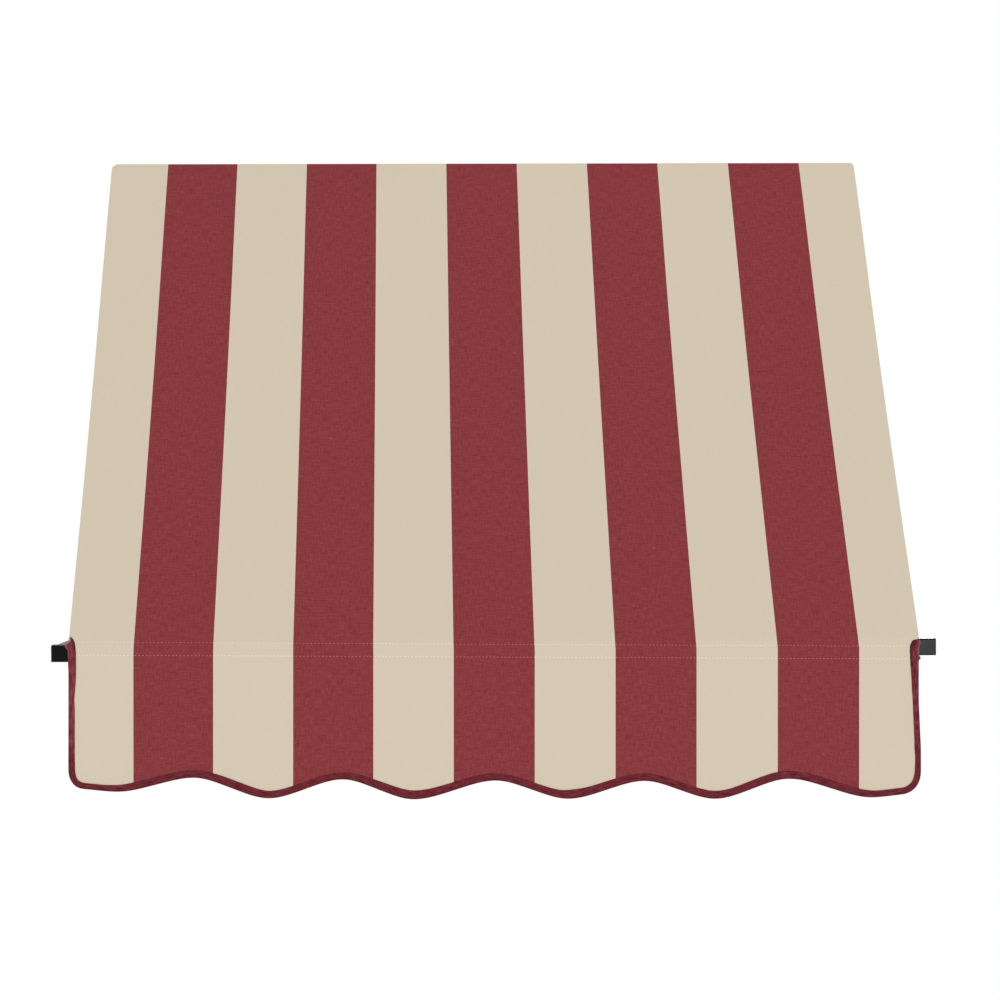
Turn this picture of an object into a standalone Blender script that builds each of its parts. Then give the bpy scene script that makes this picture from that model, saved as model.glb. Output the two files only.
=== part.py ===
"""Fixed window awning: striped cloth stretched over a bolted frame of square tube.

The frame is a head bar on the wall, a front bar held out by two level arms, and the
brackets, angles, screws and bolts that join them. The cloth is one piece. Its upper
end is a hem round the head bar, it slopes down over the front bar, and it hangs in
front of that bar as a scalloped valance with a bound edge. A strip of cloth sewn
behind the front bar makes the sleeve that the bar slides into.

Metres, +Z up, X along the bars, the front faces -Y. The wall is the plane y = 0, and
the origin is the centre of the middle head bracket's back face.
"""
import math

import bmesh
import bpy
from mathutils import Matrix, Vector

# Driving sizes of the frame
BAR_LENGTH = 1.3335        # front bar over its end caps
PROJECTION = 0.6096        # wall to the front face of the front bar
DROP = 0.796               # head bar down to front bar, centre to centre
TUBE = 0.0254              # side of the square tube
TUBE_WALL = 0.0015
TUBE_CORNER = 0.002        # outer corner radius of every tube
ARM_WIDTH = 0.01905        # arms are as tall as the bars and narrower
ARM_INSET = 0.0054         # bar end to the outer face of an arm
HEAD_GAP = 0.0045          # wall to the back of the head bar
FIT = 0.0003               # clearance between pieces that touch

# Cloth
CLOTH = 0.001
BAR_SHOWING = 0.0258       # bar end to the bound edge of the cloth
STRIPE = 0.1215            # width of every colour stripe
STRIPE_SHIFT = -0.0034     # middle of the centre stripe, off the middle of the bar
VALANCE_DROP = 0.194       # front bar centre to the middle crest of the cloth's lower edge
SCALLOP_DEPTH = 0.029      # crest to trough
SCALLOP_PITCH = 0.2245
SCALLOP_SHIFT = -0.005     # middle crest, off the middle of the bar
EDGE_TILT = -0.0115        # fall of the lower edge to the right, as a share of the width
SCALLOP_POINT = 0.03       # share of third harmonic, which straightens the flanks
END_RISE = 0.007           # how far the edge climbs again beyond the last troughs
END_LIFT_LEFT = 0.010      # how much shallower the last trough is on each side
END_LIFT_RIGHT = 0.003
VALANCE_CORNER = 0.018     # radius of the two lower corners
HEM_INSET = 0.012          # hem ends lie this far inside the cloth's side edges
HEM_CORNER = 0.010         # length of slope over which the side edge rounds in
HEM_ROUNDING = (0.1, 0.35, 1)  # rows across that length, as shares of it
HEM_PAST_BAR = 0.002       # hem beyond each end of the head bar
SEAM_START = 0.050         # from the head bar down the slope to the hem's seam
SEAM_WIDTH = 0.015
SEAM_BEND = 0.004          # bend where the hem's underside turns to meet the slope

# Sleeve behind the front bar and tape round the valance
SLEEVE = 0.0009
STITCH_HEIGHT = 0.0192     # between the two rows that hold the sleeve
SEAM_ALLOWANCE = 0.004     # sleeve edge beyond each row
SLEEVE_SLACK = 0.003       # how far the sleeve hangs below the bar
TAPE = 0.0009
TAPE_WIDTH = 0.0112
TAPE_TO_SLEEVE = 0.003

# Hardware
PLATE = 0.0025             # thickness of the brackets and angles
BEND = 0.002               # bend radius at the middle of a plate
HEAD_BRACKETS = 3
HEAD_BRACKET_WIDTH = 0.040
HEAD_BRACKET_LEG = 0.038
HEAD_BRACKET_LIP = 0.012
HEAD_BRACKET_MARGIN = 0.160  # outer brackets, in from the ends of the head bar
WALL_HOLE = 0.0030         # radius of the holes for wall screws
WALL_HOLE_SPACING = 0.024
NOTCH_MARGIN = 0.005       # hem notch beyond each side of a bracket
ANGLE_LEG = 0.038
ANGLE_HEIGHT = 0.019
ANGLE_HOLE = 0.60          # share of the leg from the corner to its screw
ARM_BRACKET_HEIGHT = 0.082
ARM_BRACKET_HOLES = 0.062
EAR_REACH = 0.036
EAR_ROUND = 0.007
EAR_FLARE = 0.0035         # extra height of an ear, above and below, at its plate
ARM_END_GAP = 0.004        # base plate to the end of the arm
BOLT_REACH = 0.023         # wall to the middle of the cross bolt
CAP_FLANGE = 0.002
CAP_PLUG = 0.012
CAP_WALL = 0.0015
CAP_BEVEL = 0.0006

# Fasteners
SCREW_SHANK = 0.0021
SCREW_LENGTH = 0.012
SCREW_POINT = 0.003
SCREW_TIP = 0.0002         # radius of the blunt tip
SCREW_FLANGE = 0.0047
SCREW_FLANGE_HEIGHT = 0.0008
SCREW_HEX = 0.0064
SCREW_HEAD = 0.0038
BOLT_SHANK = 0.003
BOLT_HEX = 0.010
BOLT_HEAD = 0.004
BOLT_TAIL = 0.002          # thread showing beyond the nut
NUT_HEIGHT = 0.005
WASHER_RADIUS = 0.006
WASHER_HEIGHT = 0.0012
EDGE_BREAK = 0.0005        # chamfer on screw heads, bolt tips and nuts

# Smoothness
ARC_STEP = math.radians(30)
SHARP_ANGLE = math.radians(33)
SCALLOP_STEPS = 12
CORNER_STEPS = 3
VALANCE_CORNER_STEPS = 6
ROUND_POINTS = 12
DIGITS = 6                 # places along the cloth are told apart to a micrometre

# Positions that follow from the sizes above
HALF_TUBE = TUBE / 2
HEAD_Z = HEAD_BRACKET_LEG / 2 + PLATE / 2 + FIT + HALF_TUBE
HEAD_Y = -(HEAD_GAP + HALF_TUBE)
BAR_Z = HEAD_Z - DROP
BAR_Y = -(PROJECTION - HALF_TUBE)
BAR_FRONT = BAR_Y - HALF_TUBE
BAR_BACK = BAR_Y + HALF_TUBE
LINING = max(SLEEVE, TAPE) + 2 * FIT
TAPE_OVERHANG = FIT + TAPE
CLOTH_HALF = BAR_LENGTH / 2 - BAR_SHOWING - TAPE_OVERHANG
HEM_HALF = CLOTH_HALF - HEM_INSET
HEAD_BAR_HALF = HEM_HALF - HEM_PAST_BAR
ARM_OUTER = BAR_LENGTH / 2 - ARM_INSET
ARM_MIDDLE = ARM_OUTER - ARM_WIDTH / 2
ARM_INNER = ARM_OUTER - ARM_WIDTH
SLEEVE_HALF = CLOTH_HALF + TAPE_OVERHANG - TAPE_WIDTH - TAPE_TO_SLEEVE
WRAP_HALF = ARM_INNER - FIT - ANGLE_LEG - TAPE_TO_SLEEVE

# Ways to lay a profile drawn in local x, y and drawn out along local z
ALONG_X = Matrix(((0, 0, 1), (1, 0, 0), (0, 1, 0))).to_4x4()
ALONG_Y = Matrix(((1, 0, 0), (0, 0, -1), (0, 1, 0))).to_4x4()


def clear_scene():
    for thing in list(bpy.data.objects):
        bpy.data.objects.remove(thing)


def linear(shade):
    """One sRGB channel, 0 to 255, as the linear value a material takes."""
    value = shade / 255
    return value / 12.92 if value <= 0.04045 else ((value + 0.055) / 1.055) ** 2.4


def finish(name, colour, roughness, metallic=0.0):
    material = bpy.data.materials.new(name)
    material.use_nodes = True
    surface = material.node_tree.nodes["Principled BSDF"]
    surface.inputs["Base Color"].default_value = (*[linear(shade) for shade in colour], 1)
    surface.inputs["Roughness"].default_value = roughness
    surface.inputs["Metallic"].default_value = metallic
    return material


# Plane geometry

def turned_left(direction):
    return Vector((-direction.y, direction.x))


def rounded_path(corners):
    """Points along a bent strip whose corners, given as u, v, radius, become arcs."""
    points = [Vector(corners[0][:2])]
    for before, corner, after in zip(corners, corners[1:], corners[2:]):
        here = Vector(corner[:2])
        into = (here - Vector(before[:2])).normalized()
        out = (Vector(after[:2]) - here).normalized()
        turn = math.atan2(into.cross(out), into.dot(out))
        if corner[2] == 0 or abs(turn) < 1e-6:
            points.append(here)
            continue
        radius = math.copysign(corner[2], turn)
        start = here - into * radius * math.tan(turn / 2)
        centre = start + turned_left(into) * radius
        steps = max(2, math.ceil(abs(turn) / ARC_STEP))
        for step in range(steps + 1):
            points.append(centre + Matrix.Rotation(turn * step / steps, 2) @ (start - centre))
    points.append(Vector(corners[-1][:2]))
    return points


def path_normals(path):
    """Left-hand normals along a path, lengthened at bends so that offsets stay parallel."""
    sides = [turned_left((after - here).normalized()) for here, after in zip(path, path[1:])]
    inner = [(one + two) / (1 + one.dot(two)) for one, two in zip(sides, sides[1:])]
    return [sides[0], *inner, sides[-1]]


def strip_outline(corners, thickness):
    """Closed outline of a plate of even thickness bent along the given corners."""
    path = rounded_path(corners)
    normals = path_normals(path)
    left = [point + normal * thickness / 2 for point, normal in zip(path, normals)]
    right = [point - normal * thickness / 2 for point, normal in zip(path, normals)]
    return left + right[::-1]


def rounded_rectangle(width, height, radius):
    """Outline of a rectangle about the origin with arcs for corners."""
    outline = []
    for quarter, (along, up) in enumerate(((1, 1), (-1, 1), (-1, -1), (1, -1))):
        middle = Vector((along * (width / 2 - radius), up * (height / 2 - radius)))
        for step in range(CORNER_STEPS + 1):
            angle = math.pi / 2 * (quarter + step / CORNER_STEPS)
            outline.append(middle + Vector((math.cos(angle), math.sin(angle))) * radius)
    return outline


def circle(radius):
    turns = [2 * math.pi * index / ROUND_POINTS for index in range(ROUND_POINTS)]
    return [Vector((math.cos(turn), math.sin(turn))) * radius for turn in turns]


def hexagon(across_flats):
    """A hexagon with a point at each corner and each middle of a side, to match circle."""
    outline = circle(across_flats / 2)
    return [point / math.cos(math.pi / 6) if index % 2 else point
            for index, point in enumerate(outline)]


# Solids

def mesh_of(shape):
    bmesh.ops.recalc_face_normals(shape, faces=shape.faces)
    mesh = bpy.data.meshes.new("piece")
    shape.to_mesh(mesh)
    shape.free()
    return mesh


def skin(loops, closed=False):
    """Mesh over loops of equally many points, each joined to the next one."""
    shape = bmesh.new()
    rings = [[shape.verts.new(point) for point in loop] for loop in loops]
    pairs = list(zip(rings, rings[1:]))
    if closed:
        pairs.append((rings[-1], rings[0]))
    else:
        shape.faces.new(rings[0])
        shape.faces.new(rings[-1])
    for ring, following in pairs:
        for index in range(len(ring)):
            ahead = (index + 1) % len(ring)
            shape.faces.new((ring[index], ring[ahead], following[ahead], following[index]))
    return mesh_of(shape)


def raised(outline, height):
    return [(point.x, point.y, height) for point in outline]


def stacked(levels, closed=False):
    """Mesh through outlines at given heights, for turned and moulded pieces."""
    return skin([raised(outline, height) for outline, height in levels], closed)


def prism(outline, start, end):
    return stacked([(outline, start), (outline, end)])


def place(name, mesh, material, frame=Matrix.Identity(4)):
    """Make the named piece, smooth on its round faces, under the awning's empty."""
    if not mesh.materials:
        mesh.materials.append(material)
        mesh.shade_smooth()
        mesh.set_sharp_from_angle(angle=SHARP_ANGLE)
    piece = bpy.data.objects.new(name, mesh)
    bpy.context.collection.objects.link(piece)
    piece.parent = bpy.data.objects["awning"]
    piece.matrix_world = frame
    return piece


def combine(piece, operation, shape):
    """Join a world-space shape to a piece, or cut it out, and keep the result as its mesh."""
    mesh = mesh_of(shape)
    mesh.materials.append(piece.data.materials[0])
    tool = bpy.data.objects.new("tool", mesh)
    bpy.context.collection.objects.link(tool)
    step = piece.modifiers.new("combine", "BOOLEAN")
    step.operation = operation
    step.solver = "EXACT"
    step.object = tool
    graph = bpy.context.evaluated_depsgraph_get()
    piece.data = bpy.data.meshes.new_from_object(piece.evaluated_get(graph))
    piece.modifiers.clear()
    bpy.data.objects.remove(tool)


def drill(piece, holes):
    """Cut round holes, each given by a point on its axis, the axis, radius and half length."""
    shape = bmesh.new()
    for point, axis, radius, reach in holes:
        frame = axis.to_track_quat("Z", "Y").to_matrix().to_4x4()
        frame.translation = point
        bmesh.ops.create_cone(shape, cap_ends=True, segments=ROUND_POINTS, radius1=radius,
                              radius2=radius, depth=2 * reach, matrix=frame)
    combine(piece, "DIFFERENCE", shape)


def tube(name, width, length, frame, material):
    """Hollow tube of the frame, centred on the frame's origin along its local z."""
    outer = rounded_rectangle(width, TUBE, TUBE_CORNER)
    inner = rounded_rectangle(width - 2 * TUBE_WALL, TUBE - 2 * TUBE_WALL,
                              TUBE_CORNER - TUBE_WALL)
    ends = ((outer, -length / 2), (outer, length / 2), (inner, length / 2), (inner, -length / 2))
    return place(name, stacked(ends, closed=True), material, frame)


def moved(frame, x, y, z):
    return Matrix.Translation((x, y, z)) @ frame


# Fasteners

def screw_mesh():
    """Hex screw with a flange under its head, seated at z = 0 and pointing down."""
    head_top = SCREW_HEAD - EDGE_BREAK
    return stacked((
        (circle(SCREW_TIP), -SCREW_LENGTH),
        (circle(SCREW_SHANK), SCREW_POINT - SCREW_LENGTH),
        (circle(SCREW_SHANK), 0),
        (circle(SCREW_FLANGE), 0),
        (circle(SCREW_FLANGE), SCREW_FLANGE_HEIGHT),
        (hexagon(SCREW_HEX), SCREW_FLANGE_HEIGHT),
        (hexagon(SCREW_HEX), head_top),
        (circle(SCREW_HEX / 2 - EDGE_BREAK), SCREW_HEAD),
    ))


def bolt_mesh(grip):
    """Hex bolt with its head above z = 0, long enough for the grip and the nut."""
    length = grip + NUT_HEIGHT + BOLT_TAIL
    return stacked((
        (circle(BOLT_SHANK - EDGE_BREAK), -length),
        (circle(BOLT_SHANK), EDGE_BREAK - length),
        (circle(BOLT_SHANK), 0),
        (hexagon(BOLT_HEX), 0),
        (hexagon(BOLT_HEX), BOLT_HEAD - EDGE_BREAK),
        (circle(BOLT_HEX / 2 - EDGE_BREAK), BOLT_HEAD),
    ))


def nut_mesh():
    bore = circle(BOLT_SHANK + FIT)
    flat = circle(BOLT_HEX / 2 - EDGE_BREAK)
    return stacked((
        (flat, 0),
        (hexagon(BOLT_HEX), EDGE_BREAK),
        (hexagon(BOLT_HEX), NUT_HEIGHT - EDGE_BREAK),
        (flat, NUT_HEIGHT),
        (bore, NUT_HEIGHT),
        (bore, 0),
    ), closed=True)


def washer_mesh():
    outer = circle(WASHER_RADIUS)
    bore = circle(BOLT_SHANK + FIT)
    return stacked(((outer, 0), (outer, WASHER_HEIGHT), (bore, WASHER_HEIGHT), (bore, 0)),
                   closed=True)


def seated(point, outwards):
    """Frame of a fastener whose head or face looks outwards from the point."""
    frame = outwards.to_track_quat("Z", "Y").to_matrix().to_4x4()
    frame.translation = point
    return frame


def fix_screw(name, mesh, surface_point, outwards, material):
    """Seat a screw on a plate; return the hole that its shank needs in what it holds."""
    place(name, mesh, material, seated(surface_point + outwards * FIT, outwards))
    return (surface_point, outwards, SCREW_SHANK + FIT, SCREW_LENGTH - SCREW_POINT)


# Frame pieces

def end_cap_mesh():
    """Push-in cap: a thin square flange with a hollow plug."""
    plug_side = TUBE - 2 * (TUBE_WALL + FIT)
    plug_corner = TUBE_CORNER - TUBE_WALL
    flange = rounded_rectangle(TUBE, TUBE, TUBE_CORNER)
    crown = rounded_rectangle(TUBE - 2 * CAP_BEVEL, TUBE - 2 * CAP_BEVEL, TUBE_CORNER - CAP_BEVEL)
    plug = rounded_rectangle(plug_side, plug_side, plug_corner)
    pocket_side = plug_side - 2 * CAP_WALL
    pocket = rounded_rectangle(pocket_side, pocket_side, plug_corner)
    return stacked((
        (crown, CAP_FLANGE),
        (flange, CAP_FLANGE - CAP_BEVEL),
        (flange, 0),
        (plug, 0),
        (plug, -CAP_PLUG),
        (pocket, -CAP_PLUG),
        (pocket, -CAP_WALL),
    ))


def capped_bar(name, half_length, y, z, steel, cap_mesh, plastic):
    """Square bar along X with a cap in each end, over caps twice the half length long."""
    tube_half = half_length - CAP_FLANGE - FIT
    bar = tube(name, TUBE, 2 * tube_half, moved(ALONG_X, 0, y, z), steel)
    for side, word in ((-1, "left"), (1, "right")):
        seat = Vector((side * (tube_half + FIT), y, z))
        place(f"{name}_cap_{word}", cap_mesh, plastic, seated(seat, Vector((side, 0, 0))))
    return bar


def head_bracket_places():
    reach = HEAD_BAR_HALF - HEAD_BRACKET_MARGIN
    return [reach * (2 * index / (HEAD_BRACKETS - 1) - 1) for index in range(HEAD_BRACKETS)]


def head_bracket(index, x, steel):
    """Bent plate: a leg on the wall, a shelf under the head bar and a lip in front of it."""
    shelf_z = HEAD_BRACKET_LEG / 2
    lip_y = HEAD_Y - HALF_TUBE - FIT - PLATE / 2
    profile = strip_outline((
        (-PLATE / 2, -HEAD_BRACKET_LEG / 2),
        (-PLATE / 2, shelf_z, BEND),
        (lip_y, shelf_z, BEND),
        (lip_y, shelf_z + PLATE / 2 + HEAD_BRACKET_LIP),
    ), PLATE)
    mesh = prism(profile, -HEAD_BRACKET_WIDTH / 2, HEAD_BRACKET_WIDTH / 2)
    bracket = place(f"head_bracket_{index}", mesh, steel, moved(ALONG_X, x, 0, 0))
    half_spacing = WALL_HOLE_SPACING / 2
    wall_holes = [(Vector((x + side * half_spacing, 0, 0)), Vector((0, 1, 0)), WALL_HOLE,
                   2 * PLATE) for side in (-1, 1)]
    return bracket, wall_holes


def build_head(steel, cap_mesh, plastic, zinc):
    """Head bar on its brackets, each with a screw up through the shelf into the bar."""
    bar = capped_bar("head_bar", HEAD_BAR_HALF, HEAD_Y, HEAD_Z, steel, cap_mesh, plastic)
    screw = screw_mesh()
    down = Vector((0, 0, -1))
    bar_holes = []
    for index, x in enumerate(head_bracket_places(), start=1):
        bracket, holes = head_bracket(index, x, steel)
        under_shelf = Vector((x, HEAD_Y, HEAD_BRACKET_LEG / 2 - PLATE / 2))
        hole = fix_screw(f"head_screw_{index}", screw, under_shelf, down, zinc)
        drill(bracket, [*holes, hole])
        bar_holes.append(hole)
    drill(bar, bar_holes)


def corner_angle(side, word, steel):
    """Angle plate in the corner behind the front bar, inside the arm."""
    leg_y = BAR_BACK + FIT + PLATE / 2
    leg_x = ARM_INNER - FIT - PLATE / 2
    profile = strip_outline((
        (side * (ARM_INNER - FIT - ANGLE_LEG), leg_y),
        (side * leg_x, leg_y, BEND),
        (side * leg_x, BAR_BACK + FIT + ANGLE_LEG),
    ), PLATE)
    mesh = prism(profile, -ANGLE_HEIGHT / 2, ANGLE_HEIGHT / 2)
    return place(f"corner_angle_{word}", mesh, steel, Matrix.Translation((0, 0, BAR_Z)))


def ear_outline():
    """Side view of an arm bracket's ear in y, z: full height at the plate, round in front."""
    half = HALF_TUBE + FIT
    return rounded_path((
        (-PLATE / 2, half + EAR_FLARE),
        (-EAR_REACH, half, EAR_ROUND),
        (-EAR_REACH, -half, EAR_ROUND),
        (-PLATE / 2, -half - EAR_FLARE),
    ))


def arm_bracket(side, word, steel):
    """Channel bracket: a base plate on the wall and two ears beside the arm's end."""
    middle = side * ARM_MIDDLE
    width = ARM_WIDTH + 2 * (FIT + PLATE)
    base = rounded_rectangle(width, ARM_BRACKET_HEIGHT, EAR_ROUND)
    bracket = place(f"arm_bracket_{word}", prism(base, 0, PLATE), steel,
                    moved(ALONG_Y, middle, 0, BAR_Z))
    ears = bmesh.new()
    for edge in (-1, 1):
        inner = middle + edge * (ARM_WIDTH / 2 + FIT)
        faces = [[(x, point.x, BAR_Z + point.y) for point in ear_outline()]
                 for x in (inner, inner + edge * PLATE)]
        ear = skin(faces)
        ears.from_mesh(ear)
        bpy.data.meshes.remove(ear)
    combine(bracket, "UNION", ears)
    reach = ARM_BRACKET_HOLES / 2
    holes = [(Vector((middle, 0, BAR_Z + up * reach)), Vector((0, 1, 0)), WALL_HOLE, 2 * PLATE)
             for up in (-1, 1)]
    return bracket, holes


def cross_bolt(side, word, bolt, nut, washer, zinc):
    """Bolt through the ears and the arm, with its head outside and a washer at each end."""
    outwards = Vector((side, 0, 0))
    ear_face = ARM_WIDTH / 2 + FIT + PLATE
    middle = Vector((side * ARM_MIDDLE, -BOLT_REACH, BAR_Z))
    outer_washer = middle + outwards * (ear_face + FIT)
    inner_washer = middle - outwards * (ear_face + FIT)
    lift = outwards * (WASHER_HEIGHT + FIT)
    place(f"washer_outer_{word}", washer, zinc, seated(outer_washer, outwards))
    place(f"washer_inner_{word}", washer, zinc, seated(inner_washer, -outwards))
    place(f"bolt_{word}", bolt, zinc, seated(outer_washer + lift, outwards))
    place(f"nut_{word}", nut, zinc, seated(inner_washer - lift, -outwards))
    return (middle, outwards, BOLT_SHANK + FIT, ear_face + PLATE)


def build_front(steel, cap_mesh, plastic, zinc):
    """Front bar, and on each side an arm with its angle, screws, bolt and bracket."""
    bar = capped_bar("front_bar", BAR_LENGTH / 2, BAR_Y, BAR_Z, steel, cap_mesh, plastic)
    grip = ARM_WIDTH + 2 * (2 * FIT + PLATE + WASHER_HEIGHT + FIT)
    bolt, nut, washer, screw = bolt_mesh(grip), nut_mesh(), washer_mesh(), screw_mesh()
    arm_front = BAR_BACK + FIT
    arm_back = -(PLATE + ARM_END_GAP)
    bar_holes = []
    for side, word in ((-1, "left"), (1, "right")):
        arm = tube(f"side_arm_{word}", ARM_WIDTH, arm_back - arm_front,
                   moved(ALONG_Y, side * ARM_MIDDLE, (arm_front + arm_back) / 2, BAR_Z), steel)
        angle = corner_angle(side, word, steel)
        along_leg = FIT + ANGLE_LEG * ANGLE_HOLE
        on_bar = Vector((side * (ARM_INNER - along_leg), BAR_BACK + FIT + PLATE, BAR_Z))
        on_arm = Vector((side * (ARM_INNER - FIT - PLATE), BAR_BACK + along_leg, BAR_Z))
        bar_hole = fix_screw(f"bar_screw_{word}", screw, on_bar, Vector((0, 1, 0)), zinc)
        arm_hole = fix_screw(f"arm_screw_{word}", screw, on_arm, Vector((-side, 0, 0)), zinc)
        bracket, wall_holes = arm_bracket(side, word, steel)
        bolt_hole = cross_bolt(side, word, bolt, nut, washer, zinc)
        drill(angle, [bar_hole, arm_hole])
        drill(arm, [arm_hole, bolt_hole])
        drill(bracket, [*wall_holes, bolt_hole])
        bar_holes.append(bar_hole)
    drill(bar, bar_holes)


# Cloth

def slope_line():
    """Where the cloth leaves the head bar, its way down and its outward normal, in y, z."""
    head_corner = Vector((HEAD_Y - HALF_TUBE + TUBE_CORNER, HEAD_Z + HALF_TUBE - TUBE_CORNER))
    bar_corner = Vector((BAR_FRONT + TUBE_CORNER, BAR_Z + HALF_TUBE - TUBE_CORNER))
    head_radius = TUBE_CORNER + FIT + CLOTH / 2
    bar_radius = TUBE_CORNER + LINING + CLOTH / 2
    span = bar_corner - head_corner
    lean = math.acos((head_radius - bar_radius) / span.length)
    outwards = Matrix.Rotation(-lean, 2) @ span.normalized()
    leaves = head_corner + outwards * head_radius
    arrives = bar_corner + outwards * bar_radius
    return leaves, (arrives - leaves).normalized(), outwards


def cloth_path():
    """Rows of the cloth in y, z, from the hem's free end over both bars to the valance,
    with the point behind the head bar where the notches end and where the slope begins."""
    leaves, down, outwards = slope_line()
    head_radius = TUBE_CORNER + FIT + CLOTH / 2
    off_bar = HALF_TUBE + FIT + CLOTH / 2
    top = HEAD_Z + off_bar
    under = HEAD_Z - off_bar
    behind = HEAD_Y + off_bar
    front = BAR_FRONT - LINING - CLOTH / 2
    notch_top = Vector((behind, HEAD_Z))
    doubled = outwards * (CLOTH + FIT)
    seam = leaves + down * SEAM_START - doubled
    hem_end = seam + down * SEAM_WIDTH
    ridge = leaves + down * ((top - leaves.y) / down.y)
    fold = leaves + down * ((front - leaves.x) / down.x)
    rounding = [leaves + down * HEM_CORNER * share for share in HEM_ROUNDING]
    corners = [
        hem_end,
        (*seam, SEAM_BEND),
        (HEAD_Y - off_bar, under, head_radius),
        (behind, under, head_radius),
        (*notch_top, 0),
        (behind, top, head_radius),
        (*ridge, head_radius),
        *[(*point, 0) for point in rounding],
        (*fold, TUBE_CORNER + LINING + CLOTH / 2),
        (front, BAR_Z - TUBE),
    ]
    return rounded_path(corners), notch_top, leaves, down


def nearest_row(path, place):
    return min(range(len(path)), key=lambda row: (path[row] - place).length)


def side_inset(distance):
    """How far the cloth's side edge lies inside its full width near the head bar."""
    share = min(max(distance / HEM_CORNER, 0), 1)
    return HEM_INSET * (1 - math.sqrt(1 - (1 - share) ** 2))


def stripe_edges():
    last = math.ceil(CLOTH_HALF / STRIPE) + 1
    edges = [STRIPE_SHIFT + (index + 0.5) * STRIPE for index in range(-last, last)]
    return [x for x in edges if abs(x) < CLOTH_HALF - VALANCE_CORNER]


def notches():
    """Spans of x where the hem is cut away for the head brackets."""
    half = HEAD_BRACKET_WIDTH / 2 + NOTCH_MARGIN
    return [(x - half, x + half) for x in head_bracket_places()]


def cloth_columns():
    places = [-CLOTH_HALF, CLOTH_HALF, *stripe_edges()]
    for start, end in notches():
        places.extend((start, end))
    return sorted({round(x, DIGITS) for x in places})


def lower_edge(x):
    """Height of the valance's lower edge at x."""
    troughs = int((CLOTH_HALF - VALANCE_CORNER) / SCALLOP_PITCH + 0.5)
    last_trough = (troughs - 0.5) * SCALLOP_PITCH
    place = x - SCALLOP_SHIFT
    turn = 2 * math.pi * min(abs(place), last_trough) / SCALLOP_PITCH
    wave = (math.cos(turn) + SCALLOP_POINT * math.cos(3 * turn)) / (1 + SCALLOP_POINT)
    depth = (1 - wave) / 2
    height = BAR_Z - VALANCE_DROP - SCALLOP_DEPTH * depth + EDGE_TILT * x
    if abs(place) > last_trough - SCALLOP_PITCH / 2:
        height += depth * (END_LIFT_LEFT if place < 0 else END_LIFT_RIGHT)
    if abs(place) > last_trough:
        height += END_RISE * ((abs(place) - last_trough) / (CLOTH_HALF - last_trough)) ** 2
    return height


def valance_edge():
    """The cloth's edge in x, z: left corner, scallops, right corner."""
    flat_half = CLOTH_HALF - VALANCE_CORNER
    count = round(2 * flat_half / SCALLOP_PITCH * SCALLOP_STEPS)
    places = [flat_half * (2 * index / count - 1) for index in range(count + 1)]
    places.extend(x for x in cloth_columns() if abs(x) < flat_half)
    bottom = [Vector((x, lower_edge(x))) for x in sorted({round(x, DIGITS) for x in places})]
    left, right = [], []
    for step in range(VALANCE_CORNER_STEPS):
        angle = math.pi / 2 * step / VALANCE_CORNER_STEPS
        across = VALANCE_CORNER * (1 - math.cos(angle))
        up = VALANCE_CORNER * (1 - math.sin(angle))
        left.append(Vector((across - CLOTH_HALF, bottom[0].y + up)))
        right.append(Vector((CLOTH_HALF - across, bottom[-1].y + up)))
    return left + bottom + right[::-1]


def is_red(x):
    return round((x - STRIPE_SHIFT) / STRIPE) % 2 == 0


def drop_loose(shape):
    for vert in [vert for vert in shape.verts if not vert.link_faces]:
        shape.verts.remove(vert)


def build_canopy(tan, red):
    """The whole cloth: a grid of rows and columns down to the front bar, then one face
    for each column of the valance, thickened to both sides."""
    path, notch_top, leaves, down = cloth_path()
    columns = cloth_columns()
    leaving = nearest_row(path, leaves)
    notch_rows = nearest_row(path, notch_top)
    shape = bmesh.new()
    grid = []
    for row, point in enumerate(path):
        inset = HEM_INSET if row < leaving else side_inset((point - leaves).dot(down))
        limit = CLOTH_HALF - inset
        grid.append([shape.verts.new((min(max(x, -limit), limit), *point)) for x in columns])
    edge = [(point, shape.verts.new((point.x, path[-1].x, point.y))) for point in valance_edge()]
    for column, (left, right) in enumerate(zip(columns, columns[1:])):
        colour = int(is_red((left + right) / 2))
        notched = any(start - FIT < left and right < end + FIT for start, end in notches())
        hanging = [vert for point, vert in edge if left <= round(point.x, DIGITS) <= right]
        faces = [(grid[-1][column], *hanging, grid[-1][column + 1])]
        for row in range(notch_rows if notched else 0, len(path) - 1):
            faces.append((grid[row][column], grid[row + 1][column],
                          grid[row + 1][column + 1], grid[row][column + 1]))
        for face in faces:
            shape.faces.new(face).material_index = colour
    drop_loose(shape)
    mesh = bpy.data.meshes.new("canopy")
    shape.to_mesh(mesh)
    shape.free()
    canopy = place("canopy", mesh, tan)
    mesh.materials.append(red)
    thicken(canopy, CLOTH)


def thicken(piece, thickness):
    solid = piece.modifiers.new("thickness", "SOLIDIFY")
    solid.thickness = thickness
    solid.offset = 0
    solid.use_even_offset = True


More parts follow.
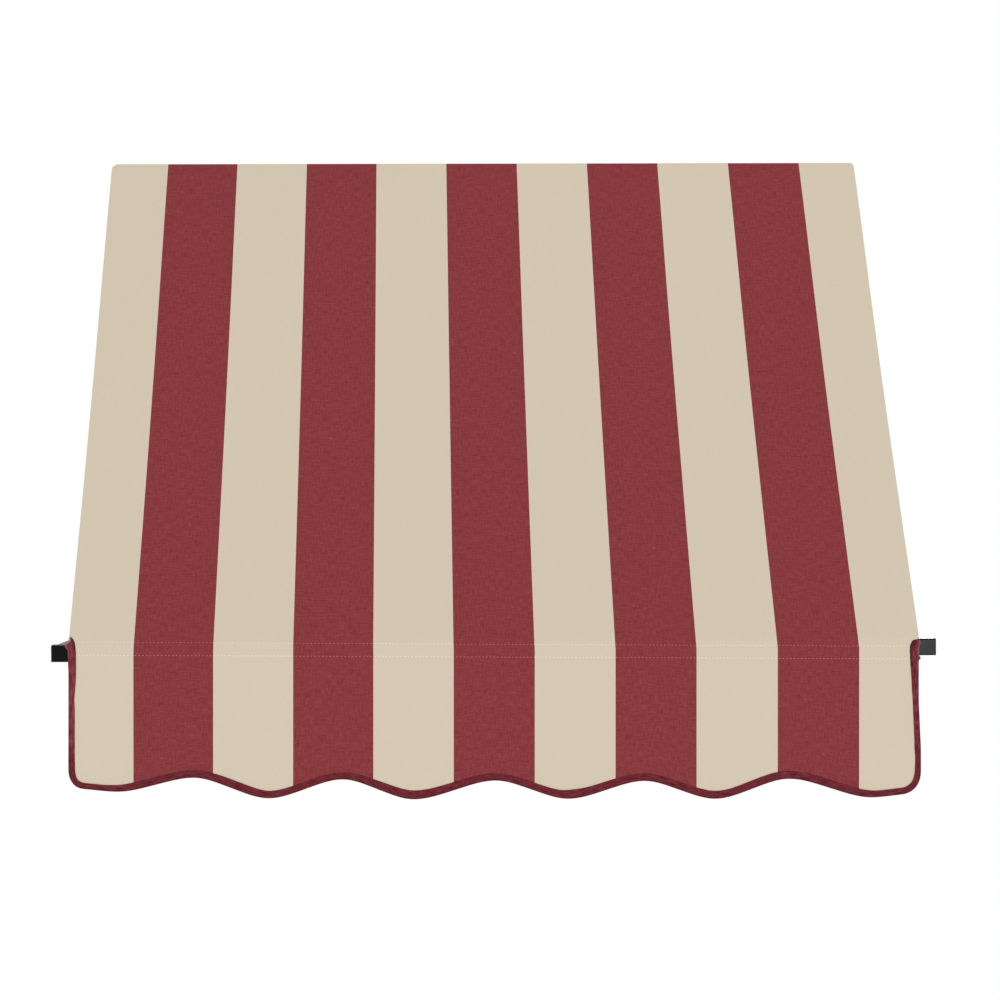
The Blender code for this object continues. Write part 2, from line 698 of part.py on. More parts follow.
def build_sleeve(tan):
    """Strip sewn to the cloth at two rows, wrapped round the back of the front bar."""
    off_bar = HALF_TUBE + FIT + SLEEVE / 2
    radius = TUBE_CORNER + FIT + SLEEVE / 2
    front, back = BAR_Y - off_bar, BAR_Y + off_bar
    free_end = STITCH_HEIGHT / 2 - SEAM_ALLOWANCE
    path = rounded_path((
        (front, BAR_Z + free_end),
        (front, BAR_Z + off_bar, radius),
        (back, BAR_Z + off_bar, radius),
        (back, BAR_Z - off_bar, radius),
        (BAR_Y, BAR_Z - off_bar - SLEEVE_SLACK, TUBE),
        (front, BAR_Z - off_bar, radius),
        (front, BAR_Z - free_end),
    ))
    columns = (-SLEEVE_HALF, -WRAP_HALF, WRAP_HALF, SLEEVE_HALF)
    wrap = 1  # the middle column, the only one that goes round the bar
    shape = bmesh.new()
    grid = [[shape.verts.new((x, *point)) for x in columns] for point in path]
    for row in range(len(path) - 1):
        against_cloth = max(path[row].x, path[row + 1].x) < front + FIT
        for column in range(len(columns) - 1):
            if column == wrap or against_cloth:
                shape.faces.new((grid[row][column], grid[row + 1][column],
                                 grid[row + 1][column + 1], grid[row][column + 1]))
    drop_loose(shape)
    thicken(place("bar_sleeve", mesh_of(shape), tan), SLEEVE)


def build_tape(braid):
    """Tape folded over the valance's edge: a U section carried round the outline."""
    edge = valance_edge()
    top = BAR_Z + HALF_TUBE - TUBE_CORNER
    edge = [Vector((-CLOTH_HALF, top)), *edge, Vector((CLOTH_HALF, top))]
    inner = CLOTH / 2 + FIT
    outer = inner + TAPE
    lip = TAPE_WIDTH - TAPE_OVERHANG
    section = ((-TAPE_OVERHANG, -outer), (lip, -outer), (lip, -inner), (-FIT, -inner),
               (-FIT, inner), (lip, inner), (lip, outer), (-TAPE_OVERHANG, outer))
    middle = BAR_FRONT - LINING - CLOTH / 2
    loops = []
    for point, normal in zip(edge, path_normals(edge)):
        stations = [(point + normal * inwards, middle + through) for inwards, through in section]
        loops.append([(station.x, y, station.y) for station, y in stations])
    place("valance_tape", skin(loops), braid)


def build_awning():
    clear_scene()
    bpy.context.collection.objects.link(bpy.data.objects.new("awning", None))
    tan = finish("tan_cloth", (213, 199, 178), 0.9)
    red = finish("burgundy_cloth", (135, 60, 64), 0.9)
    braid = finish("burgundy_tape", (118, 46, 52), 0.8)
    steel = finish("black_paint", (30, 30, 31), 0.4)
    plastic = finish("black_plastic", (26, 26, 26), 0.5)
    zinc = finish("zinc_plate", (176, 178, 180), 0.35, 1.0)
    cap_mesh = end_cap_mesh()
    build_head(steel, cap_mesh, plastic, zinc)
    build_front(steel, cap_mesh, plastic, zinc)
    build_canopy(tan, red)
    build_sleeve(tan)
    build_tape(braid)


build_awning()
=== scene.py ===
# %% [markdown]
# # A striped window awning
# The frame of this awning comes from the CAD model: square black tube, brackets and
# fasteners. This lesson dresses it: one striped cloth, the sleeve that holds the front
# bar, the tape round the valance and every stitch are made here, and each surface gets
# a finish. Loading comes first, because every new piece takes its place from the frame.

# %% Load the frame
import math

import bmesh
import bpy
import numpy as np
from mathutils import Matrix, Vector
from mathutils.bvhtree import BVHTree


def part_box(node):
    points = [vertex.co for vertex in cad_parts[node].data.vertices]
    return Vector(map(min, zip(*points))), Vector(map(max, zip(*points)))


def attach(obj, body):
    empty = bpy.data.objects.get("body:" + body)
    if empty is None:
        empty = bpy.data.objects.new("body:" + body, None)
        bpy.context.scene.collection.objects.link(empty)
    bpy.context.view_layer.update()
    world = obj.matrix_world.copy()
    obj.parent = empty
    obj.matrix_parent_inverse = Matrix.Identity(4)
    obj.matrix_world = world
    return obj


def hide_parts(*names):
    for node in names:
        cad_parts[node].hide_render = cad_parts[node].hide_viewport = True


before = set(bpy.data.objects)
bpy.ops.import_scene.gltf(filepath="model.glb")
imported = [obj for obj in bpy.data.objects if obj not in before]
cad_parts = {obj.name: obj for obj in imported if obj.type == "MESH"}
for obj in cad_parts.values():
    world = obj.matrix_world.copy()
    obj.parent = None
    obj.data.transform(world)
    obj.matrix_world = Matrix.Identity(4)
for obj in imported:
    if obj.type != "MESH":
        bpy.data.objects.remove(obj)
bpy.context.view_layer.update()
scene = bpy.context.scene
scene.view_settings.view_transform = "Standard"
print("pieces of the frame:", len(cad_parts))

# %% [markdown]
# ## Where things are
# A maker measures the frame before cutting the cloth. The front bar, the head bar and
# the CAD cloth give every place that the new pieces need, so nothing is set by eye.

# %% Measure the frame
bar_low, bar_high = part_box("front_bar")
head_low, head_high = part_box("head_bar")
cloth_low, cloth_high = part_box("canopy")
bar = (bar_low + bar_high) / 2
head = (head_low + head_high) / 2
HALF_TUBE = (bar_high.z - bar_low.z) / 2
CLOTH_HALF = cloth_high.x
SLEEVE_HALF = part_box("bar_sleeve")[1].x
BRACKETS = [[corner.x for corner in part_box(f"head_bracket_{i}")] for i in (1, 2, 3)]
print(f"bar to bar {head.z - bar.z:.3f} m, cloth {2 * CLOTH_HALF:.3f} m wide")

# %% [markdown]
# Two small jobs come back all through the lesson: to put an object in the scene, and
# to turn a shape drawn with bmesh into a mesh.


# %% Objects and meshes
def add_object(name, data):
    made = bpy.data.objects.new(name, data)
    scene.collection.objects.link(made)
    return made


def mesh_of(name, shape):
    mesh = bpy.data.meshes.new(name)
    shape.to_mesh(mesh)
    shape.free()
    return mesh


# %% [markdown]
# ## The camera
# The photograph looks level at the front from a little above the front bar. The
# stripes meet at a point left of the middle, so the camera stands left of the middle
# too, turned nearly two degrees to the right. The awning hung a third of a degree out
# of level in the photograph, so the camera leans by that much instead.

# %% Camera
camera_data = bpy.data.cameras.new("camera")
camera_data.sensor_width = 36
camera_data.lens = 91.55
camera = add_object("camera", camera_data)
camera.location = (-0.1122, -4.4376, bar.z + 0.2263)
camera.rotation_euler = (math.radians(90), math.radians(0.345), math.radians(-1.79))
scene.camera = camera

# %% [markdown]
# ## Colours
# Colours are read from a picture as sRGB numbers from 0 to 255, but a shader works
# with linear light. `colour` turns one into the other.


# %% Colours
def colour(red, green, blue):
    linear = []
    for value in (red / 255, green / 255, blue / 255):
        linear.append(value / 12.92 if value <= 0.04045 else ((value + 0.055) / 1.055) ** 2.4)
    return (*linear, 1.0)


# %% [markdown]
# ## Writing node trees as sums
# A material is arithmetic on coordinates, and long chains of nodes are hard to read.
# `Wire` wraps one output socket, so that `a * 2 + b` adds the Math nodes by itself.
# `Board` wraps a tree and adds any other node from its type, settings and inputs.
# The same two classes serve materials and Geometry Nodes. Two sums come back often:
# `ramp` fades something in between two places, and `ridges` draws ribs.


# %% Wire and Board
def operator(operation, swapped=False):
    """A method that adds a Math node; swapped puts the other number first."""
    def method(wire, other):
        return wire.board.math(operation, *((other, wire) if swapped else (wire, other)))
    return method


class Wire:
    __add__ = __radd__ = operator("ADD")
    __mul__ = __rmul__ = operator("MULTIPLY")
    __sub__, __rsub__ = operator("SUBTRACT"), operator("SUBTRACT", swapped=True)
    __truediv__, __pow__ = operator("DIVIDE"), operator("POWER")

    def __init__(self, board, socket):
        self.board = board
        self.socket = socket

    def math(self, operation, *others):
        return self.board.math(operation, self, *others)

    def clamped(self):
        return self.math("MAXIMUM", 0).math("MINIMUM", 1)


class Board:
    def __init__(self, tree):
        self.tree = tree

    def add(self, kind, settings=None, **inputs):
        """A node of that type. Settings come first, then values or wires for its sockets."""
        node = self.tree.nodes.new(kind)
        for name, value in (settings or {}).items():
            setattr(node, name, value)
        for name, value in inputs.items():
            self.feed(node, name.replace("_", " "), value)
        return node

    def plug(self, socket, value):
        """Link a wire or a node's first output to a socket, or set the socket to a value."""
        if isinstance(value, bpy.types.Node):
            value = self.out(value)
        if isinstance(value, Wire):
            self.tree.links.new(value.socket, socket)
        else:
            socket.default_value = value

    def feed(self, node, name, value):
        self.plug(next(s for s in node.inputs if s.enabled and s.name.lower() == name.lower()),
                  value)

    def out(self, node, name=None):
        socket = next(s for s in node.outputs if s.enabled and name in (None, s.name))
        return Wire(self, socket)

    def math(self, operation, *values):
        node = self.add("ShaderNodeMath", {"operation": operation})
        for socket, value in zip(node.inputs, values):
            self.plug(socket, value)
        return self.out(node)

    def axes(self, vector):
        """The three numbers of a vector."""
        node = self.add("ShaderNodeSeparateXYZ", Vector=vector)
        return [self.out(node, axis) for axis in "XYZ"]

    def vector(self, x=0.0, y=0.0, z=0.0):
        return self.out(self.add("ShaderNodeCombineXYZ", X=x, Y=y, Z=z))

    def blend(self, share, first, second):
        """From the first colour to the second as the share goes from 0 to 1."""
        first, second = (colour(*c) if isinstance(c, tuple) else c for c in (first, second))
        return self.add("ShaderNodeMix", {"data_type": "RGBA"}, Factor=share, A=first, B=second)

    def noise(self, vector, detail=2.0):
        """Noise from 0 to 1, one blob for each unit; the third number may pick a slice of it."""
        return self.out(self.add("ShaderNodeTexNoise", Vector=vector, Scale=1.0, Detail=detail,
                                 Roughness=0.5))


def ramp(value, start, end):
    """From 0 at the start to 1 at the end, and level beyond both."""
    return ((value - start) / (end - start)).clamped()


def ridges(place, pitch):
    """Round ridges side by side, 0 in the grooves and 1 on top."""
    return (place * (math.pi / pitch)).math("SINE").math("ABSOLUTE")


# %% [markdown]
# ## Finishes
# Each finish is one Principled shader. Its patterns are drawn in the piece's own
# coordinates, in metres, so that they keep their real size on every piece.


# %% Material helpers
class Finish(Board):
    """The board of a new material; gloss is the specular level of its shader."""

    def __init__(self, name, gloss=0.5, metallic=0.0):
        self.material = bpy.data.materials.new(name)
        self.material.use_nodes = True
        super().__init__(self.material.node_tree)
        self.surface = self.tree.nodes["Principled BSDF"]
        self.feed(self.surface, "Specular IOR Level", gloss)
        self.feed(self.surface, "Metallic", metallic)

    def place(self):
        """Object coordinates, in metres, as three numbers."""
        return self.axes(self.out(self.add("ShaderNodeTexCoord"), "Object"))

    def clouds(self, size, detail=2.0):
        """Noise with blobs of that size in metres."""
        return self.noise(self.vector(*[axis / size for axis in self.place()]), detail)

    def look(self, shade, roughness, height, depth, strength):
        """Feed colour, roughness and a relief whose height of 1 stands for that depth."""
        bump = self.add("ShaderNodeBump", Height=height, Distance=depth, Strength=strength)
        for name, value in (("Base Color", shade), ("Roughness", roughness), ("Normal", bump)):
            self.feed(self.surface, name, value)
        return self.material


# %% [markdown]
# ## The studio
# The cloth is lit evenly, with no hard shadow, and the background is pure white. A
# white world gives the even part. One wide, far light in front adds a little shape,
# from a height at which it falls equally on the slope and on the valance. It is kept
# out of glossy reflections, or the arms would glare white in a view from behind. Two
# small reflectors light no cloth and only show in the satin paint on the right: one low
# in front makes the right bar end greyer than the left one, as in the photograph, and
# one behind whitens the top of the right arm, which is lost in the white there.


# %% World and lamps
SKY = 0.66                   # share of the light that comes from all round
world = bpy.data.worlds.new("studio")
world.use_nodes = True
scene.world = world
sky = Board(world.node_tree)
ray = sky.add("ShaderNodeLightPath")
seen = 0
for kind in ("Camera", "Glossy", "Transmission"):
    seen = sky.math("MAXIMUM", seen, sky.out(ray, f"Is {kind} Ray"))
background = world.node_tree.nodes["Background"]
sky.feed(background, "Color", (1, 1, 1, 1))
sky.feed(background, "Strength", SKY + seen * (1 - SKY))


def add_lamp(name, kind, place, direction, **settings):
    data = bpy.data.lights.new(name, kind)
    for setting, value in settings.items():
        setattr(data, setting, value)
    lamp = add_object(name, data)
    lamp.location = place
    lamp.rotation_euler = Vector(direction).to_track_quat("-Z", "Y").to_euler()
    return lamp


KEY_SHARE = 0.36             # of full brightness, on a surface that faces the light
KEY_HEIGHT = math.radians(17)
KEY_SIDE = math.radians(15)  # it stands this far to the right
key = add_lamp("front_light", "SUN", (0, 0, 0),
               (-math.sin(KEY_SIDE), math.cos(KEY_SIDE), -math.tan(KEY_HEIGHT)),
               energy=KEY_SHARE * math.pi, angle=math.radians(26))
key.visible_glossy = False
RIGHT_END = Vector((bar_high.x, bar_low.y, bar.z))
for name, place, size, power in (("front_reflector", (1.42, -4.4, bar.z - 0.24), 0.44, 72),
                                 ("back_reflector", (1.15, 2.0, bar.z + 0.26), 0.5, 8)):
    reflector = add_lamp(name, "AREA", place, RIGHT_END - Vector(place), shape="DISK",
                         size=size, energy=power)
    reflector.visible_diffuse = False

# %% [markdown]
# The floor lies two metres below the window head. It fades into the white background
# at its rim, so it shows the soft shadow and has no edge.

# %% Floor
FLOOR_Z, FLOOR_REACH = -2.0, 3.0
floor_shape = bmesh.new()
bmesh.ops.create_circle(floor_shape, cap_ends=True, segments=96, radius=FLOOR_REACH)
floor = add_object("floor", mesh_of("floor", floor_shape))
floor.location = (0, -0.3, FLOOR_Z)
board = Finish("pale_floor", gloss=0.1)
board.feed(board.surface, "Base Color", (0.86, 0.86, 0.86, 1))
board.feed(board.surface, "Roughness", 0.9)
x, y, _ = board.place()
rim = ((x * x + y * y) ** 0.5 / FLOOR_REACH).clamped() ** 2
fade = board.add("ShaderNodeMixShader", Fac=rim)
board.plug(fade.inputs[1], board.surface)
board.plug(fade.inputs[2], board.add("ShaderNodeEmission", Color=(1, 1, 1, 1), Strength=1.0))
board.feed(board.tree.nodes["Material Output"], "Surface", fade)
floor.data.materials.append(board.material)

# %% [markdown]
# ## Woven cloth
# Awning cloth is a plain weave of dyed yarn, wide tan stripes and burgundy ones. The
# yarns run down the stripes and across them, about twenty to the centimetre. Two
# patterns would do: an image, or noise drawn out along each yarn. Noise needs no
# file and never repeats. The weave is drawn in the flat cut's own coordinates, kept
# as a UV map called `cut` in metres, so it turns the corner at the bar with the cloth.
# The stripes run along it, so they follow the cloth wherever it is pulled.

# %% Weave
YARN = 0.00048               # from one yarn to the next
SLUB_CELL = (0.05, 0.035)    # one thick place at most in each cell of this size
SLUB_SIZE = 0.07             # half a thick place, as a share of its cell
SLUB_RARITY = 0.78           # share of the cells that have none


def cut_place(board):
    """Place on the flat cut: across and along, in metres."""
    across, along, _ = board.axes(board.out(board.add("ShaderNodeUVMap", {"uv_map": "cut"})))
    return across, along


def weave_height(across, along):
    """Yarns that pass over and under in turn, as a height from 0 to 1."""
    over = ((across / YARN).math("FLOOR") + (along / YARN).math("FLOOR")).math("MODULO", 2)
    return ridges(across, YARN) * over + ridges(along, YARN) * (1 - over.math("ABSOLUTE"))


def heather(board, across, along, width, length):
    """Uneven dye along the yarns: streaks down and across, about -0.5 to 0.5."""
    down = board.noise(board.vector(across / width, along / length))
    over = board.noise(board.vector(across / length, along / width, 7.0))
    return (down + over) / 2 - 0.5


def slubs(board, across, along):
    """Sparse thick places in the yarn, as a mask."""
    cells = board.add("ShaderNodeTexVoronoi", Scale=1.0,
                      Vector=board.vector(across / SLUB_CELL[0], along / SLUB_CELL[1]))
    chosen = board.axes(board.out(cells, "Color"))[0].math("GREATER_THAN", SLUB_RARITY)
    return ramp(board.out(cells, "Distance"), SLUB_SIZE, 0) * chosen


# %% [markdown]
# ### Stripes
# The cloth is pulled a little tighter on the right, so its stripes widen slowly from
# left to right. `count` is 0 in the middle of the centre stripe and 1 in the next one.
# The cosine of pi times that is above 0 on every burgundy stripe, and near 0 it
# measures the distance to a stripe's edge.

# %% Stripe mask
STRIPE = 0.12124             # width of a stripe at the middle
STRIPE_SHIFT = -0.0035       # middle of the centre stripe
STRIPE_GAIN = 0.000275       # how far a stripe's edge moves out, times its count squared
MIDDLE_EXTRA = 0.0007        # the middle stripe is woven a hair wider
STRIPE_EDGE = 0.0005         # a yarn's width, over which the colour changes


def burgundy_mask(across):
    width = (across - STRIPE_SHIFT) / STRIPE
    width = width - (width + 0.5).clamped() * (MIDDLE_EXTRA / STRIPE)
    count = width - width * width * (STRIPE_GAIN / STRIPE)
    distance = (count * math.pi).math("COSINE") * (STRIPE / math.pi)
    return (distance / STRIPE_EDGE + 0.5).clamped()


# %% [markdown]
# ### Dye
# No two yarns take the dye alike. Coarse and fine streaks along the yarns change the
# shade, more in the burgundy than in the tan, and a few thick yarns are paler.

# %% Cloth finishes
TAN, TAN_DEEP = (216, 203, 182), (209, 196, 174)
BURGUNDY, BURGUNDY_DEEP = (146, 66, 70), (121, 44, 49)
SLUB = (176, 108, 104)
COARSE, FINE = (0.0022, 0.016), (0.0007, 0.006)     # width and length of the streaks


def cloth_finish(name, striped):
    """Woven canvas, striped in burgundy or plain tan."""
    board = Finish(name, gloss=0.12)
    across, along = cut_place(board)
    coarse = heather(board, across, along, *COARSE)
    fine = heather(board, across, along, *FINE)
    depth = (0.5 - coarse * 1.1 - fine * 0.8).clamped()
    shade = board.blend(depth, TAN, TAN_DEEP)
    if striped:
        uneven = (0.5 - coarse * 2.4 - fine * 1.6).clamped()
        burgundy = board.blend(uneven, BURGUNDY, BURGUNDY_DEEP)
        burgundy = board.blend(slubs(board, across, along) * 0.5, burgundy, SLUB)
        shade = board.blend(burgundy_mask(across), shade, burgundy)
    return board.look(shade, 0.84 + depth * 0.1, weave_height(across, along) + fine,
                      0.00012, 0.35)


striped_cloth = cloth_finish("striped_cloth", True)
plain_cloth = cloth_finish("plain_cloth", False)

# %% [markdown]
# ## The cloth
# The whole cover is one sheet. It starts as a hem that wraps the head bar, runs down
# the slope in one tight span, turns over the front bar and hangs as the valance.
# Seen from the side it is a single line, so that line is worked out first, as straight
# runs with round bends where the cloth lies on tube.


# %% Cross-section of the cloth
SLACK = 0.0003               # air between pieces that touch
CLOTH = 0.001                # the room that the frame leaves for the cloth
TUBE_CORNER = 0.002
LINING = 0.0015              # sleeve and air between the front bar and the cloth
HEM_RUN = 0.065              # hem's doubled length, from the head bar down the slope
SEAM_START = 0.050
SEAM_BEND = 0.004
HEAD_BEND = TUBE_CORNER + SLACK + CLOTH / 2      # bends of the cloth round the two bars
BAR_BEND = TUBE_CORNER + LINING + CLOTH / 2


def rotated(arm, angle):
    return Vector((arm.x * math.cos(angle) - arm.y * math.sin(angle),
                   arm.x * math.sin(angle) + arm.y * math.cos(angle)))


def bent_line(corners, bend_step=math.radians(12)):
    """Points along a line with round bends; corners are given as u, v, bend radius."""
    points = [Vector(corners[0][:2])]
    for before, corner, after in zip(corners, corners[1:], corners[2:]):
        here = Vector(corner[:2])
        into = (here - Vector(before[:2])).normalized()
        out = (Vector(after[:2]) - here).normalized()
        turn = math.atan2(into.cross(out), into.dot(out))
        radius = math.copysign(corner[2], turn)
        start = here - into * radius * math.tan(turn / 2)
        middle = start + rotated(into, math.pi / 2) * radius
        steps = max(2, math.ceil(abs(turn) / bend_step))
        for step in range(steps + 1):
            points.append(middle + rotated(start - middle, turn * step / steps))
    points.append(Vector(corners[-1][:2]))
    return points


def slope_tangent():
    """Where the slope leaves the head bar, its direction down and its outward normal."""
    top = Vector((head_low.y + TUBE_CORNER, head_high.z - TUBE_CORNER))
    foot = Vector((bar_low.y + TUBE_CORNER, bar_high.z - TUBE_CORNER))
    span = foot - top
    lean = math.acos((HEAD_BEND - BAR_BEND) / span.length)
    outwards = rotated(span.normalized(), -lean)
    leaves = top + outwards * HEAD_BEND
    down = (foot + outwards * BAR_BEND - leaves).normalized()
    return leaves, down, outwards


leaves, down, outwards = slope_tangent()
off_bar = HALF_TUBE + SLACK + CLOTH / 2
CLOTH_Y = bar_low.y - LINING - CLOTH / 2      # the middle of the valance's thickness
seam = leaves + down * SEAM_START - outwards * (CLOTH + SLACK)
hem_end = seam + down * (HEM_RUN - SEAM_START)
ridge = leaves + down * ((head.z + off_bar - leaves.y) / down.y)
fold = leaves + down * ((CLOTH_Y - leaves.x) / down.x)
VALANCE_TOP = bar.z - HALF_TUBE                # the cloth hangs free below this height
VALANCE_FOOT = cloth_low.z
section = bent_line([
    hem_end,
    (*seam, SEAM_BEND),
    (head.y - off_bar, head.z - off_bar, HEAD_BEND),
    (head.y + off_bar, head.z - off_bar, HEAD_BEND),
    (head.y + off_bar, head.z + off_bar, HEAD_BEND),
    (*ridge, HEAD_BEND),
    (*fold, BAR_BEND),
    (CLOTH_Y, VALANCE_FOOT),
])
print(f"the slope falls {math.degrees(math.atan2(-down.y, -down.x)):.1f} degrees")

# %% [markdown]
# A sheet needs rows where it bends and fewer where it is straight. `even_rows` adds
# points along the straight runs, and a few more go where the top corners are rounded.
# Each row also remembers how far along the flat cut it is, as an attribute called `run`.


# %% Rows of the sheet
LONGEST_ROW = 0.011
CORNER_ROWS, CORNER_STEP = 7, 0.002


def distances(points):
    """How far along a line each of its points lies."""
    steps = [(after - before).length for before, after in zip(points, points[1:])]
    return np.concatenate([[0], np.cumsum(steps)])


def nearest(points, place):
    """The number of the point that lies nearest to a place."""
    return min(range(len(points)), key=lambda i: (points[i] - place).length)


def line_mesh(points, label, kind, values):
    """A line of edges that carries an attribute, with one value at each point."""
    mesh = bpy.data.meshes.new("line")
    mesh.from_pydata([tuple(point) for point in points],
                     [(i, i + 1) for i in range(len(points) - 1)], [])
    data = mesh.attributes.new(label, kind, "POINT").data
    data.foreach_set("value" if kind == "FLOAT" else "vector",
                     np.array(values, np.float32).ravel())
    return mesh


def even_rows(points, longest):
    rows = [points[0]]
    for before, after in zip(points, points[1:]):
        pieces = max(1, math.ceil((after - before).length / longest))
        rows.extend(before.lerp(after, step / pieces) for step in range(1, pieces + 1))
    return rows


bend_end = nearest(section, leaves)
section[bend_end + 1:bend_end + 1] = [leaves + down * CORNER_STEP * step
                                      for step in range(1, CORNER_ROWS + 1)]
rows = even_rows(section, LONGEST_ROW)
runs = distances(rows)
SLOPE_START = float(runs[nearest(rows, leaves)])
SLOPE_END = SLOPE_START + (fold - leaves).length
NOTCH_RUN = float(runs[nearest(rows, Vector((head.y + off_bar, head.z)))])
section_mesh = line_mesh([(0, *row) for row in rows], "run", "FLOAT", runs)
print(f"{len(rows)} rows along {runs[-1]:.3f} m of cloth")

# %% [markdown]
# ## Growing a mesh from a rule
# Geometry Nodes can build a mesh from named sizes. `new_tree` makes an empty tree with
# its inputs, `grown` runs a tree once on a host object and keeps the result as a plain
# mesh, and `finish_tree` adds the last steps that every tree needs.


# %% Helpers for Geometry Nodes
def new_tree(name, **inputs):
    """A Geometry Nodes tree with a mesh coming in and one going out, and inputs by kind."""
    tree = bpy.data.node_groups.new(name, "GeometryNodeTree")
    for way in ("INPUT", "OUTPUT"):
        tree.interface.new_socket("Geometry", in_out=way, socket_type="NodeSocketGeometry")
    for kind, labels in inputs.items():
        for label in labels.split(", "):
            tree.interface.new_socket(label, in_out="INPUT", socket_type=f"NodeSocket{kind}")
    board = Board(tree)
    entry = board.add("NodeGroupInput")
    return tree, board, {s.name: Wire(board, s) for s in entry.outputs if s.name}


def finish_tree(board, mesh, material):
    """Last steps of every tree: real geometry, smooth shading and the material."""
    whole = board.add("GeometryNodeRealizeInstances", Geometry=mesh)
    smooth = board.add("GeometryNodeSetShadeSmooth", Geometry=whole)
    painted = board.add("GeometryNodeSetMaterial", Geometry=smooth, Material=material)
    board.add("NodeGroupOutput", Geometry=painted)


def grown(name, mesh, tree, values):
    """Run the tree on the mesh with those inputs, and return the result as a plain mesh."""
    host = add_object(name, mesh)
    step = host.modifiers.new("grow", "NODES")
    step.node_group = tree
    sockets = {item.name: item.identifier for item in tree.interface.items_tree
               if item.item_type == "SOCKET" and item.in_out == "INPUT"}
    for label, value in values.items():
        step[sockets[label]] = value
    host.update_tag()
    made = bpy.data.meshes.new_from_object(
        host.evaluated_get(bpy.context.evaluated_depsgraph_get()))
    host.modifiers.clear()
    bpy.data.objects.remove(host)
    made.name = name
    print(f"{name}: {len(made.polygons)} faces")
    return made


def add_piece(name, mesh):
    """A finished piece at the origin that goes with the frame."""
    piece = add_object(name, mesh)
    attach(piece, "root")
    return piece


def thicken(piece, thickness):
    solid = piece.modifiers.new("thickness", "SOLIDIFY")
    solid.thickness = thickness
    solid.offset = 0
    solid.use_even_offset = True


# %% [markdown]
# ## The sheet as a rule
# Every point of the cloth follows from two numbers: which row it is in, and how far
# across it is. So Geometry Nodes build it: a grid whose rows are moved to the
# cross-section, with a slight sag on the slope, a ripple that grows towards the free
# edge, and three notches in the hem where the head brackets pass through. The scallops
# were cut by hand, so no two are quite alike: the edge runs in cosine waves between
# marks, as a chalk line would, and the last ones on the left are shallower.

# %% Sizes of the cloth's edges
# marks along the lower edge, left to right: place, and depth below the bar's middle
EDGE_MARKS = [(-0.6400, 0.1995), (-0.5661, 0.2057), (-0.4545, 0.1857), (-0.3405, 0.2174),
              (-0.2314, 0.1903), (-0.1233, 0.2212), (-0.0017, 0.1942), (0.1092, 0.2226),
              (0.2230, 0.1969), (0.3307, 0.2248), (0.4420, 0.1958), (0.5680, 0.2250),
              (0.6400, 0.2190)]
SCALLOP_POINT = 0.026        # a third harmonic that straightens the flanks
CORNER_LEFT, CORNER_RIGHT = (0.022, 0.028), (0.028, 0.033)  # width and height
CORNER_POWER = 2.3           # 2 would be an ellipse
CORNER_SHARE = 0.92          # columns of the flat part, as a share of each half
HEM_LEFT, HEM_RIGHT = 0.012, 0.007    # slope over which each side rounds in to the hem
NOTCH_MARGIN = 0.005
SAG_PATCH = (0.5, 1.4)       # width of a part that sags alike, and their count down the slope
RIPPLE_WIDTH = 0.15

# %% [markdown]
# Sewing pulls the cloth out of true by a millimetre or two. Each pull is noted with the
# part of the cloth that it works on, and each part fades in between two heights. Only a
# strip along each side follows the tape, and the whole width is stretched a little too.

# %% Sizes of the pulls
SIDE = 0.060                 # width of the strips along the sides
PULL_LEFT = {"slope": -0.0003, "slope's foot": -0.0012, "valance": 0.0003, "below bar": 0.0008}
PULL_RIGHT = {"top": 0.0037, "slope": 0.0007, "slope's foot": 0.0010,
              "upper valance": -0.0025, "lower valance": 0.0007}
STRETCH = {"slope's foot": -0.0011, "valance": 0.0008}      # as a share of the width
VALANCE_SHIFT = 0.0005       # the whole valance hangs this far to the right
# heights above the bar's middle where a part starts, and where it counts in full
ON_SLOPE, BELOW_BAR = (0, 0.012), (0, -0.03)
UPPER_VALANCE, LOWER_VALANCE = (-0.14, -0.08), (-0.135, -0.155)

# %% [markdown]
# The tree reads each row of the section by its number, works out where the point goes
# across, along and up, and then cuts the notches.


# %% The sheet's tree
def curve_inset(run, length, inset):
    """How far a side lies inside its full width: a quarter of an ellipse along the slope."""
    share = ramp(run, SLOPE_START, SLOPE_START + length)
    return inset * (1 - (1 - (1 - share) * (1 - share)).math("SQRT"))


def edge_height(x):
    """Height of the lower edge: from mark to mark along half a cosine wave."""
    height = bar.z - EDGE_MARKS[0][1]
    for (start, depth), (end, next_depth) in zip(EDGE_MARKS, EDGE_MARKS[1:]):
        phase = ramp(x, start, end) * math.pi
        wave = phase.math("COSINE") + (phase * 3).math("COSINE") * SCALLOP_POINT
        height = height + (1 - wave / (1 + SCALLOP_POINT)) * ((depth - next_depth) / 2)
    return height


